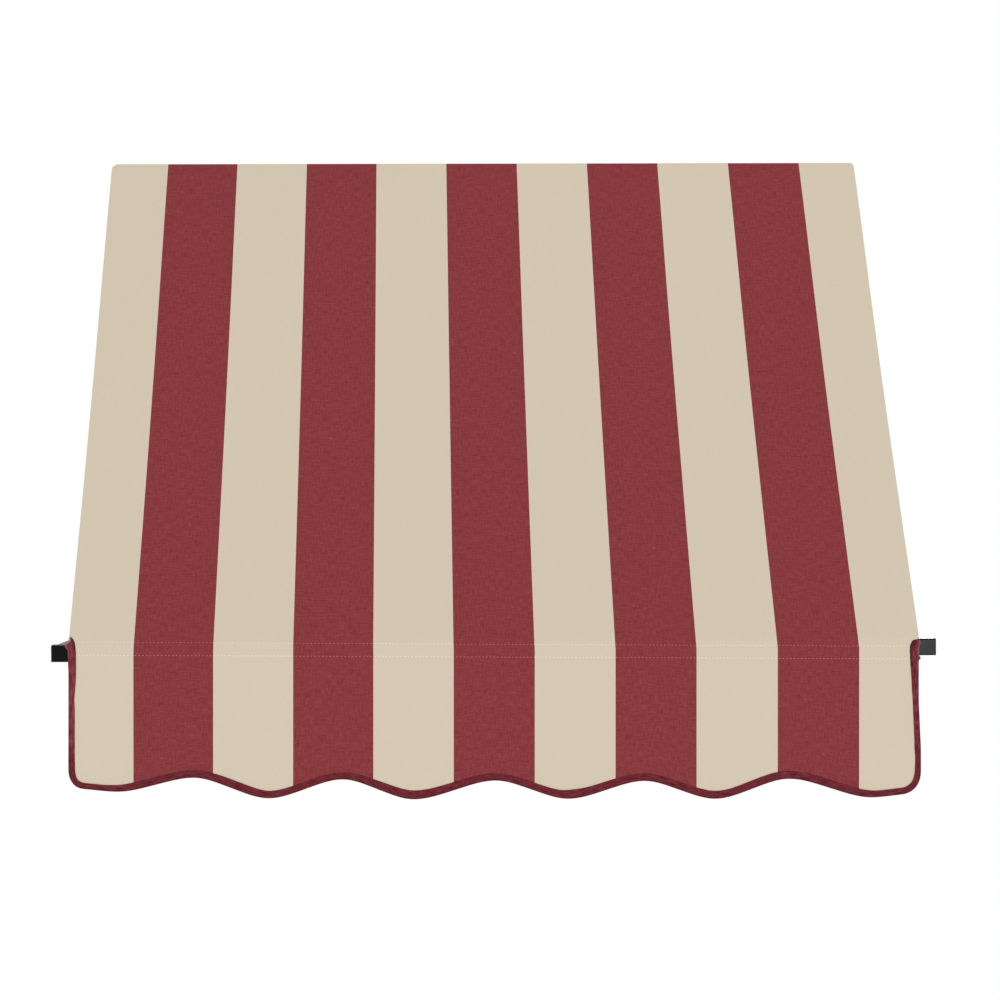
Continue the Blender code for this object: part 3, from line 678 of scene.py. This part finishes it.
def sheet_tree():
    tree, board, given = new_tree(
        "sheet", Int="Columns", Material="Cloth",
        Float="Half width, Left inset, Right inset, Spread, Lean, Ripple, Sag")
    section = given["Geometry"]
    count = board.out(board.add("GeometryNodeAttributeDomainSize", Geometry=section))
    grid = board.add("GeometryNodeMeshGrid", Size_X=2.0, Size_Y=1.0,
                     Vertices_X=given["Columns"], Vertices_Y=count)
    place = board.add("GeometryNodeInputPosition")
    across, row, _ = board.axes(place)
    index = ((row + 0.5) * (count - 1)).math("ROUND")

    def of_section(kind, value):
        return board.out(board.add("GeometryNodeSampleIndex", {"data_type": kind},
                                   Geometry=section, Value=value, Index=index))

    _, y, z = board.axes(of_section("FLOAT_VECTOR", place))
    run = of_section("FLOAT", board.add("GeometryNodeInputNamedAttribute", Name="run"))
    # across: closer columns in the round corners, and a narrower hem
    half = given["Half width"]
    share = across.math("ABSOLUTE")
    left = across.math("LESS_THAN", 0)

    def sided(on_left, on_right):
        return left * on_left + (1 - left) * on_right

    wide, tall = map(sided, CORNER_LEFT, CORNER_RIGHT)
    flat = share.math("MINIMUM", CORNER_SHARE) / CORNER_SHARE * (half - wide)
    turn = ramp(share, CORNER_SHARE, 1) * (math.pi / 2)
    inset = sided(curve_inset(run, HEM_LEFT, given["Left inset"]),
                  curve_inset(run, HEM_RIGHT, given["Right inset"]))
    size = (flat + turn.math("SINE") * wide) * (1 - inset / half)
    x = size * across.math("SIGN")
    # slope: below the doubled hem it sags a little, not everywhere alike
    way = ramp(run, SLOPE_START, SLOPE_END)
    single = ramp(run, SLOPE_START + HEM_RUN, SLOPE_END)
    slack = board.noise(board.vector(x / SAG_PATCH[0], way * SAG_PATCH[1], 11.0), detail=0.0)
    sag = given["Sag"] * (4 * single * (1 - single)) ** 1.5 * (0.5 + slack)
    # lower edge: the marks, and two round corners
    into = ramp(size, half - wide, half)
    corner = tall * (1 - (1 - into ** CORNER_POWER).math("MAXIMUM", 0) ** (1 / CORNER_POWER))
    edge = edge_height(x) + corner
    in_front = way.math("GREATER_THAN", 0.5)
    hang = ramp(z, VALANCE_TOP, VALANCE_FOOT) * in_front
    z = z - sag * outwards.y + hang * (edge - VALANCE_FOOT)
    free = ramp(z, VALANCE_TOP, VALANCE_FOOT) * in_front
    sway = board.noise(board.vector(x / RIPPLE_WIDTH, 0.0, 3.0), detail=1.0) - 0.5
    y = y - sag * outwards.x + free * free * sway * given["Ripple"]
    # pulls: wider at the top, narrower over the bar, drawn in or let out at the sides
    above = z - bar.z
    slope = ramp(above, *ON_SLOPE)
    top = (1 - way) ** 1.5
    parts = {"top": top, "slope": slope, "slope's foot": way * slope, "valance": 1 - slope,
             "below bar": ramp(above, *BELOW_BAR),
             "upper valance": (1 - slope) * ramp(above, *UPPER_VALANCE),
             "lower valance": ramp(above, *LOWER_VALANCE)}

    def pull(amounts):
        return sum(parts[part] * amount for part, amount in amounts.items())

    near_side = ramp(size, half - SIDE, half)
    placed = (x * (1 + top * given["Spread"] + pull(STRETCH)) + parts["valance"] * VALANCE_SHIFT
              + near_side * sided(pull(PULL_LEFT), pull(PULL_RIGHT))
              - (fold.y - z).math("MAXIMUM", 0) * given["Lean"])
    # notches for the head brackets
    inside = sum((placed - (low + high) / 2).math("ABSOLUTE")
                 .math("LESS_THAN", (high - low) / 2 + NOTCH_MARGIN) for low, high in BRACKETS)
    kept = board.add("GeometryNodeStoreNamedAttribute",
                     {"data_type": "FLOAT2", "domain": "CORNER"}, Geometry=grid, Name="cut",
                     Value=board.vector(x, run))
    cut = board.add("GeometryNodeDeleteGeometry", {"domain": "FACE"}, Geometry=kept,
                    Selection=inside * run.math("LESS_THAN", NOTCH_RUN))
    moved = board.add("GeometryNodeSetPosition", Geometry=cut,
                      Position=board.vector(placed, y, z))
    finish_tree(board, moved, given["Cloth"])
    return tree


# %% [markdown]
# The canopy replaces the plain solid of the CAD model, which is hidden.

# %% Grow the canopy
canopy_mesh = grown("awning_cloth", section_mesh, sheet_tree(), {
    "Columns": 301, "Half width": CLOTH_HALF, "Left inset": 0.007, "Right inset": 0.003,
    "Spread": 0.0008, "Lean": 0.006, "Ripple": 0.010, "Sag": 0.006, "Cloth": striped_cloth})
awning_cloth = add_piece("awning_cloth", canopy_mesh)
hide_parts("canopy")

# %% [markdown]
# ## The sleeve
# A strip of plain cloth is sewn behind the canopy at two rows and goes round the back
# of the front bar, which slides into it. Its section is one line as well, so it is a
# loft in plain mesh code: rows along the line, columns along the bar, and a soft wave
# where it hangs a little loose under the bar.


# %% Loft
def add_quad(shape, cut, grid, i, j, k, place):
    """A smooth face between rows i and i + 1, columns j and k, with its place on the cut."""
    corners = [(i, j), (i + 1, j), (i + 1, k), (i, k)]
    face = shape.faces.new([grid[a][b] for a, b in corners])
    face.smooth = True
    for loop, (a, b) in zip(face.loops, corners):
        loop[cut].uv = place(a, b)


def loft(name, path, places, keep, shift):
    """Mesh of rows along a path and columns at places; keep says which faces stay."""
    shape = bmesh.new()
    cut = shape.loops.layers.uv.new("cut")
    along = distances(path)
    grid = [[shape.verts.new(shift(x, point)) for x in places] for point in path]
    for i in range(len(path) - 1):
        for j in range(len(places) - 1):
            if keep(i, (places[j] + places[j + 1]) / 2):
                add_quad(shape, cut, grid, i, j, j + 1, lambda a, b: (places[b], along[a]))
    for vert in [vert for vert in shape.verts if not vert.link_faces]:
        shape.verts.remove(vert)
    print(f"{name}: {len(shape.faces)} faces, {along[-1]:.3f} m round")
    return mesh_of(name, shape), float(along[-1])


# %% [markdown]
# The corner angles stand between bar and arms, so near the ends only the two strips
# that lie against the cloth go on.

# %% Sleeve
SLEEVE = 0.0009              # the room that the frame leaves for the sleeve
SLEEVE_CLOTH = 0.0007
SLEEVE_SAG = 0.003           # how loose it hangs under the bar
SAG_BEND = 0.0254
FREE_END = 0.0056            # from the bar's middle to each end of the strip
SLEEVE_STEP = 0.004
SLEEVE_COLUMNS = 201
WRAP_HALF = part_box("corner_angle_right")[0].x - 0.003
WAVES = ((31, 0, 0.5), (83, 1, 0.3), (140, 2, 0.2))     # turns per metre, start, share
WAVE_HEIGHT = 0.0008
around = HALF_TUBE + SLACK + SLEEVE / 2
front, back = bar.y - around, bar.y + around
sleeve_radius = TUBE_CORNER + SLACK + SLEEVE / 2
sleeve_path = even_rows(bent_line([
    (front, bar.z + FREE_END),
    (front, bar.z + around, sleeve_radius),
    (back, bar.z + around, sleeve_radius),
    (back, bar.z - around, sleeve_radius),
    (bar.y, bar.z - around - SLEEVE_SAG, SAG_BEND),
    (front, bar.z - around, sleeve_radius),
    (front, bar.z - FREE_END),
]), SLEEVE_STEP)
sleeve_places = [-SLEEVE_HALF, *np.linspace(-WRAP_HALF, WRAP_HALF, SLEEVE_COLUMNS), SLEEVE_HALF]


def sleeve_shift(x, point):
    below = min(1.0, max(0.0, bar.z - HALF_TUBE - 0.001 - point.y) / SLEEVE_SAG)
    wave = 1 + sum(math.sin(x * turns + start) * share for turns, start, share in WAVES)
    return (x, point.x, point.y - below * wave * WAVE_HEIGHT)


def sleeve_keeps(i, x):
    against = max(sleeve_path[i].x, sleeve_path[i + 1].x) < front + SLACK
    return abs(x) < WRAP_HALF or against


sleeve_mesh, sleeve_round = loft("front_sleeve", sleeve_path, sleeve_places, sleeve_keeps,
                                 sleeve_shift)
sleeve_mesh.materials.append(plain_cloth)
front_sleeve = add_piece("front_sleeve", sleeve_mesh)
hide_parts("bar_sleeve")
thicken(front_sleeve, SLEEVE_CLOTH)

# %% [markdown]
# ## The binding
# A burgundy tape is folded over the raw edge of the valance and sewn through. It
# follows the cloth's own edge, so that edge is read from the canopy's mesh: a walk
# along its open edges from the left end of the front bar to the right one. The walk
# is then cut into even steps, because a swept section needs them.


# %% Walk along the valance's edge
def edge_walk(mesh, start, end):
    """Points along the open edge of a mesh from near one point down and round to another."""
    shape = bmesh.new()
    shape.from_mesh(mesh)
    rim = [vert for vert in shape.verts if any(e.is_boundary for e in vert.link_edges)]
    places = [vert.co for vert in rim]
    first, last = (rim[nearest(places, Vector(place))] for place in (start, end))

    def neighbours(vert):
        return [e.other_vert(vert) for e in vert.link_edges if e.is_boundary]

    before, here = first, min(neighbours(first), key=lambda vert: vert.co.z)
    points = [first.co.copy(), here.co.copy()]
    while here is not last:
        before, here = here, next(v for v in neighbours(here) if v is not before)
        points.append(here.co.copy())
    shape.free()
    return points


def even_points(points, step):
    """The same line in even steps of about that length."""
    co = np.array(points)
    along = np.concatenate([[0], np.cumsum(np.linalg.norm(np.diff(co, axis=0), axis=1))])
    at = np.linspace(0, along[-1], round(along[-1] / step) + 1)
    return np.stack([np.interp(at, along, co[:, k]) for k in range(3)], axis=1), at


TOP_LEFT, TOP_RIGHT = 0.0236, 0.0128    # the tape's ends above the middle of the bar
TAPE_STEP = 0.0015
walk_start = fold - down * 0.03
walk = edge_walk(canopy_mesh, (-CLOTH_HALF, *walk_start), (CLOTH_HALF, *walk_start))
walk = even_points(walk, TAPE_STEP / 3)[0]
tops = bar.z + np.where(walk[:, 0] < 0, TOP_LEFT, TOP_RIGHT)
edge_points, edge_along = even_points(walk[walk[:, 2] < tops], TAPE_STEP)
cloth_tree = BVHTree.FromPolygons([vert.co for vert in canopy_mesh.vertices],
                                  [face.vertices for face in canopy_mesh.polygons])


def smoothed(values, weights):
    """A running mean, with the first and last value carried on past the ends."""
    return np.convolve(np.pad(values, len(weights) // 2, mode="edge"), weights, "valid")


def to_front(normal):
    return normal if normal.y < 0 else -normal


def frames_along(points):
    """Way into the cloth and outward normal at each point of the edge."""
    tangents = np.gradient(points, axis=0)
    tangents /= np.linalg.norm(tangents, axis=1)[:, None]
    normals = np.array([to_front(cloth_tree.find_nearest(Vector(p))[1]) for p in points])
    nine = np.ones(9) / 9
    normals = np.stack([smoothed(normals[:, k], nine) for k in range(3)], axis=1)
    inwards = np.cross(normals, tangents)
    inwards /= np.linalg.norm(inwards, axis=1)[:, None]
    return inwards, np.cross(tangents, inwards)


inwards, normals = frames_along(edge_points)
print(f"binding {edge_along[-1]:.3f} m long in {len(edge_points)} steps")

# %% [markdown]
# The tape is not equally wide everywhere. It is broad where it was folded by hand, at
# its two upper ends, and narrower down the sides. It takes up width in the troughs of
# the scallops and wanders by a millimetre or two along the foot. The left end is folded
# to a point and stands out where it passes the bar. The right one is round, with a
# small bulge just under the bar. Two sizes are noted along each side: `leaf`, how far
# the tape lies on the cloth, and `overhang`, how far its fold stands past the cloth's
# edge. A short running mean smooths the steps.

# %% Width of the binding
from_left, from_right = edge_along, edge_along[-1] - edge_along
on_left = edge_points[:, 0] < 0


def along_sides(left_table, right_table):
    """A size that is noted at distances from the tape's two ends, in millimetres."""
    left_size = np.interp(from_left * 1000, *zip(*left_table))
    right_size = np.interp(from_right * 1000, *zip(*right_table))
    return np.where(on_left, left_size, right_size) / 1000


leaf = along_sides(
    [(0, 3.8), (1, 5.6), (3, 6.3), (5, 7.6), (9, 9.2), (12, 9.9), (17, 10.5), (39, 10.2),
     (66, 9.4), (78, 8.5), (86, 7.7), (95, 7.2), (104, 7.6), (113, 7.8)],
    [(0, 0.5), (1.2, 1.6), (2.4, 8.6), (3.6, 9.5), (6.3, 10.4), (10.8, 11.7), (18, 12.0),
     (29, 11.5), (38, 11.1), (48, 10.3), (63, 9.4), (79, 8.5), (94, 7.6), (150, 7.6),
     (159, 8.0), (168, 8.0), (177, 7.0), (184, 6.4)])
overhang = along_sides(
    [(0, 0.1), (5, 0.1), (7, 0.6), (10.3, 3.2), (13.5, 6.0), (15, 5.6), (18, 4.0), (20, 2.4),
     (21.3, 1.8), (29, 2.1), (39, 2.1), (54, 1.8)],
    [(0, 0.6), (1.8, 1.4), (4, 2.6), (6.5, 3.4), (9, 3.0), (14, 2.4), (26, 2.4), (27.5, 4.9),
     (30.5, 4.9), (32, 2.0), (33, 1.9), (50, 1.8)])
# along the foot, in millimetres: place from the middle, and by how much the leaf is wider
FOOT = [(-640, 0.0), (-633, -1.4), (-618, -2.4), (-590, -2.5), (-563, -1.4), (-545, -0.3),
        (-413, 1.5), (-377, 0.4), (-341, -1.8), (-316, -1.5), (-172, 0.8), (-100, 0.0),
        (0, 0.0), (70, -1.0), (93, -0.9), (117, 0.8), (141, 0.0), (177, 0.6), (310, -1.1),
        (358, -1.4), (382, -0.3), (418, 1.2), (480, 0.4), (551, -2.0), (575, -3.1),
        (618, -2.9), (635, -2.0), (640, -1.0)]
LEAF_AT_FOOT = 0.0085
LEAF_IN_TROUGHS = 0.0030     # added where the scallops reach deepest
foot = np.interp(edge_points[:, 0] * 1000, *zip(*FOOT)) / 1000
height = edge_points[:, 2] - bar.z
trough = np.interp(height, (-0.222, -0.186), (1, 0))
low = np.interp(height, (-0.18, -0.15), (1, 0))
leaf = leaf * (1 - low) + (LEAF_AT_FOOT + LEAF_IN_TROUGHS * trough + foot) * low
leaf, overhang = (smoothed(size, (0.25, 0.5, 0.25)) for size in (leaf, overhang))
tape_width = leaf + overhang

# %% [markdown]
# The section of the tape is a U: two leaves with a soft fold between them, each a
# little crowned across its width. It is swept along the edge, and both ends are closed.


# %% Sweep the binding
TAPE = 0.0009                # thickness of the tape
GAP = 0.0007                 # cloth's middle to the inside of each leaf


def tape_section(width, past):
    """Points of the U, each as a distance inwards and one outwards."""
    leaf = width - past
    across = [1.0, 0.97, 0.8, 0.6, 0.4, 0.2, 0.05]
    crown = [0.35, 0.75, 1.0, 1.08, 1.08, 1.04, 1.0]
    front_leaf = [(leaf * a, GAP + TAPE * c) for a, c in zip(across, crown)]
    turn = [math.pi * i / 8 for i in range(1, 8)]
    fold_over = [(-past * math.sin(t), (GAP + TAPE) * math.cos(t)) for t in turn]
    back_leaf = [(a, -b) for a, b in front_leaf[::-1]]
    inside = [(leaf, -GAP), (leaf * 0.5, -GAP), (0.0, -GAP), (-past * 0.3, 0.0),
              (0.0, GAP), (leaf * 0.5, GAP), (leaf, GAP)]
    return front_leaf + fold_over + back_leaf + inside


def sweep_tape():
    shape = bmesh.new()
    cut = shape.loops.layers.uv.new("cut")
    lip = shape.verts.layers.float.new("lip")
    rings, spreads = [], []
    for i, point in enumerate(edge_points):
        section = tape_section(tape_width[i], overhang[i])
        rings.append([shape.verts.new(Vector(point) + Vector(inwards[i]) * a
                                      + Vector(normals[i]) * b) for a, b in section])
        spreads.append([max(0.0, a + overhang[i]) for a, b in section])
        for vert, spread in zip(rings[-1], spreads[-1]):
            vert[lip] = tape_width[i] - spread
    count = len(rings[0])
    for i in range(len(rings) - 1):
        for j in range(count):
            add_quad(shape, cut, rings, i, j, (j + 1) % count,
                     lambda a, b: (edge_along[a], spreads[a][b]))
    shape.faces.new(rings[0])
    shape.faces.new(rings[-1])
    bmesh.ops.recalc_face_normals(shape, faces=shape.faces)
    mesh = mesh_of("edge_binding", shape)
    mesh.set_sharp_from_angle(angle=math.radians(60))
    return mesh


# %% [markdown]
# ### Finish of the binding
# The tape is ribbed twill, with streaks in its dye. Its colour also carries painted light:
# painted shade along the foot and on its fold there, painted light on the sides above
# the foot, more on the left than on the right, and a painted highlight where the fold
# passes the bar. Each of these follows a height or a side, so ramps in the piece's own
# place draw them, and the `lip` attribute places a painted shadow along the inner edge.


# %% Binding finish
TAPE_DARK, TAPE_PALE = (83, 14, 23), (141, 65, 71)
# two shades of a painted highlight on the fold beside the bar
HIGHLIGHT_DIM, HIGHLIGHT_PALE = (126, 88, 95), (190, 158, 163)
# painted shade on the fold at the foot, and a painted shadow along the tape's inner lip
FOLD_SHADE, LIP_SHADOW = (70, 18, 27), (58, 12, 10)


def binding_finish():
    """Twill tape: ribs and dye streaks, with painted light, highlight and shade."""
    board = Finish("burgundy_tape", gloss=0.10)
    along, across = cut_place(board)
    lip = board.out(board.add("ShaderNodeAttribute", {"attribute_name": "lip"}), "Fac")
    streak = board.noise(board.vector(along / 0.015, across / 0.0020, 2.0)) - 0.5
    patch = board.noise(board.vector(along / 0.009, across / 0.005, 5.0)) - 0.5
    x, _, z = board.place()
    above = z - bar.z
    raised = ramp(above, -0.16, -0.13)
    by_bar = ramp(above + x * 0.02, -0.022, -0.002)
    # painted light: the sides above the foot are lighter, the left more than the right, and the
    # foot stays in painted shade
    painted_side_light = raised * (0.58 - x * 0.34)
    uneven = (streak * 2.4 + patch * 1.2) * (0.5 + raised * 0.5)
    # the dye streaks and the painted light on the sides together set the shade between dark and
    # pale
    shade = board.blend((0.28 + painted_side_light * 0.4 + uneven).clamped(), TAPE_DARK, TAPE_PALE)
    # painted shade along the outer fold at the foot
    shade = board.blend(ramp(across, 0.0032, 0) * (1 - raised) * 0.4, shade, FOLD_SHADE)
    # painted highlight on the fold where it passes the bar, palest at the top
    fold_highlight = board.blend(ramp(above, 0.012, 0.020), HIGHLIGHT_DIM, HIGHLIGHT_PALE)
    shade = board.blend(ramp(across, 0.00416, 0.00156) * by_bar * 0.85, shade, fold_highlight)
    # painted shadow along the inner lip beside the bar
    shade = board.blend(ramp(lip, 0.0048, 0.0024) * by_bar * 0.8, shade, LIP_SHADOW)
    rib, slant = ridges(across, 0.0009), ridges(across + along, 0.0011)
    return board.look(shade, 0.8 + patch * 0.2, rib * 0.6 + slant * 0.4, 0.0001, 0.4)


edge_binding = add_piece("edge_binding", sweep_tape())
edge_binding.data.materials.append(binding_finish())
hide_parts("valance_tape")
print(f"edge_binding: {len(edge_binding.data.polygons)} faces")

# %% [markdown]
# ## Stitches
# The sleeve is sewn on with two rows of cream thread that show right across the front,
# and the tape with a row of its own in burgundy. A machine stitch repeats at an even
# pitch along a path on the cloth, which is the task that Geometry Nodes do best: the
# path becomes a curve, the curve becomes evenly spaced points, and each point gets a
# short arc of thread whose ends dip into the cloth. Each path carries the cloth's own
# normal in an attribute called `out`, which tells the stitches where up is.


# %% The stitch tree
def stitch_tree():
    tree, board, given = new_tree("stitches", Float="Pitch, Length, Thickness, Loft, Wander",
                                  Int="Seed", Material="Thread")
    path = board.add("GeometryNodeMeshToCurve", Mesh=given["Geometry"])
    points = board.add("GeometryNodeCurveToPoints", {"mode": "LENGTH"}, Curve=path,
                       Length=given["Pitch"])
    half = given["Length"] / 2
    dip = 0 - given["Thickness"]
    arc = board.add("GeometryNodeCurveQuadraticBezier", Resolution=4,
                    Start=board.vector(0 - half, 0.0, dip), End=board.vector(half, 0.0, dip),
                    Middle=board.vector(0.0, 0.0, given["Loft"]))
    ring = board.add("GeometryNodeCurvePrimitiveCircle", Resolution=6,
                     Radius=given["Thickness"] / 2)
    thread = board.add("GeometryNodeCurveToMesh", Curve=arc, Profile_Curve=ring, Fill_Caps=True)
    outward = board.add("GeometryNodeInputNamedAttribute", {"data_type": "FLOAT_VECTOR"},
                        Name="out")
    aimed = board.add("FunctionNodeAlignRotationToVector", {"axis": "X"},
                      Vector=board.out(points, "Tangent"))
    raised = board.add("FunctionNodeAlignRotationToVector", {"axis": "Z", "pivot_axis": "X"},
                       Rotation=aimed, Vector=outward)
    wander = board.add("FunctionNodeRandomValue", Seed=given["Seed"],
                       Min=0 - given["Wander"], Max=given["Wander"])
    twist = board.add("FunctionNodeEulerToRotation", Euler=board.vector(0.0, 0.0, wander))
    turned_to = board.add("FunctionNodeRotateRotation", {"rotation_space": "LOCAL"},
                          Rotation=raised, Rotate_By=twist)
    size = board.add("FunctionNodeRandomValue", Seed=given["Seed"] + 1, Min=0.88, Max=1.1)
    copies = board.add("GeometryNodeInstanceOnPoints", Points=points, Instance=thread,
                       Rotation=turned_to, Scale=size)
    finish_tree(board, copies, given["Thread"])
    return tree


STITCHES = stitch_tree()


def path_mesh(points, normals):
    return line_mesh(points, "out", "FLOAT_VECTOR", normals)


def thread_finish(name, light, dark, on_burgundy=None):
    """Twisted thread: a fine slanted ply in the relief and a slight change of shade."""
    board = Finish(name, gloss=0.3)
    x, _, z = board.place()
    shade = board.blend(board.clouds(0.02), dark, light)
    if on_burgundy:
        shade = board.blend(burgundy_mask(x), shade, on_burgundy)
    ply = ridges(x + z, 0.0005)
    return board.look(shade, 0.6 + ply * 0.2, ply, 0.00008, 0.5)


# %% [markdown]
# ### Two rows across the front
# The rows lie a bar's width apart, half above and half below its middle, and run down
# a little to the right against the bar, as sewn rows do. Each point of a row is found
# by a straight look from the front onto the cloth. The cream thread is thin, so on the
# burgundy stripes, sunk between their yarns, it looks pink.

# %% Cream rows
ROW_MIDDLE = bar.z - 0.0004
ROWS_APART = 0.0192
ROW_TILT = -0.01235          # fall per metre to the right
ROW_LEFT, ROW_RIGHT = -0.6246, 0.6188
ROW_POINTS = 401
PROUD = 0.0004               # the cloth's half thickness, on which the thread lies
cream_thread = thread_finish("cream_thread", (248, 239, 219), (234, 222, 200),
                             on_burgundy=(186, 104, 110))


def row_path(side):
    points, normals = [], []
    for x in np.linspace(ROW_LEFT, ROW_RIGHT, ROW_POINTS):
        z = ROW_MIDDLE + side * ROWS_APART / 2 + ROW_TILT * x
        hit, normal, _, _ = cloth_tree.ray_cast(Vector((x, -1.0, z)), Vector((0, 1, 0)))
        normals.append(to_front(normal))
        points.append(hit + normals[-1] * PROUD)
    return path_mesh(points, normals)


for name, side, length, thickness, seed in (("upper_stitches", 1, 0.0042, 0.0009, 3),
                                            ("lower_stitches", -1, 0.0040, 0.0012, 8)):
    mesh = grown(name, row_path(side), STITCHES, {
        "Pitch": 0.0056, "Length": length, "Thickness": thickness, "Loft": thickness * 1.3,
        "Wander": 0.06, "Seed": seed, "Thread": cream_thread})
    add_piece(name, mesh)

# %% [markdown]
# ### The row that holds the tape
# It runs two millimetres inside the tape's inner edge, on the front and on the back.

# %% Burgundy rows
FROM_LIP = 0.0022
tape_thread = thread_finish("burgundy_thread", (132, 56, 62), (100, 36, 42))
for name, sign in (("tape_stitches_front", 1), ("tape_stitches_back", -1)):
    inset = (leaf - FROM_LIP)[:, None]
    line = edge_points + inwards * inset + normals * sign * (GAP + TAPE * 1.02)
    mesh = grown(name, path_mesh(line[4:-4], (normals * sign)[4:-4]), STITCHES, {
        "Pitch": 0.0038, "Length": 0.0029, "Thickness": 0.0005, "Loft": 0.0005,
        "Wander": 0.05, "Seed": 21 + sign, "Thread": tape_thread})
    add_piece(name, mesh)

# %% [markdown]
# The canopy gets its thickness last, once nothing more is measured on its single layer.

thicken(awning_cloth, 2 * PROUD)

# %% [markdown]
# ## The metal frame
# The frame keeps its CAD shapes and gets three finishes. Powder coat is a baked paint
# with a fine orange peel and a satin gloss, worn to grey on its edges. The caps are
# moulded in matt plastic. Screws, bolts, nuts and washers are zinc plated, with the
# cloudy grain that plating has. Edge wear would need baked curvature, so a fine noise
# that shows only in the gloss stands for it.


# %% Frame finishes
def powder_coat():
    board = Finish("satin_black", gloss=0.07)
    peel = board.clouds(0.0016, detail=1.0)
    dust = board.clouds(0.05, detail=4.0)
    shade = board.blend(((dust - 0.45) * 1.5).clamped(), (14, 14, 15), (23, 23, 24))
    return board.look(shade, 0.26 + dust * 0.12 + peel * 0.04, peel, 0.00005, 0.25)


def grained(name, size, detail, shades, lowest, highest, depth, **shine):
    """One grain for the colour, the relief and the roughness, which has two limits."""
    board = Finish(name, **shine)
    grain = board.clouds(size, detail)
    return board.look(board.blend(grain, *shades), lowest + grain * (highest - lowest), grain,
                      depth, 0.3)


black_coat = powder_coat()
black_plastic = grained("matt_plastic", 0.0006, 3.0, ((10, 10, 10), (20, 20, 20)),
                        0.4, 0.55, 0.00006, gloss=0.2)
zinc = grained("zinc_plate", 0.004, 4.0, ((158, 160, 163), (202, 204, 206)),
               0.25, 0.5, 0.00003, metallic=1.0)
for name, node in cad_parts.items():
    if node.hide_render:
        continue
    finish = black_coat
    if "_cap_" in name:
        finish = black_plastic
    elif name.split("_")[0] in ("bolt", "nut", "washer") or "screw" in name:
        finish = zinc
    for slot in node.material_slots:
        slot.material = finish
print("finished frame pieces:", sum(not n.hide_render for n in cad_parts.values()))
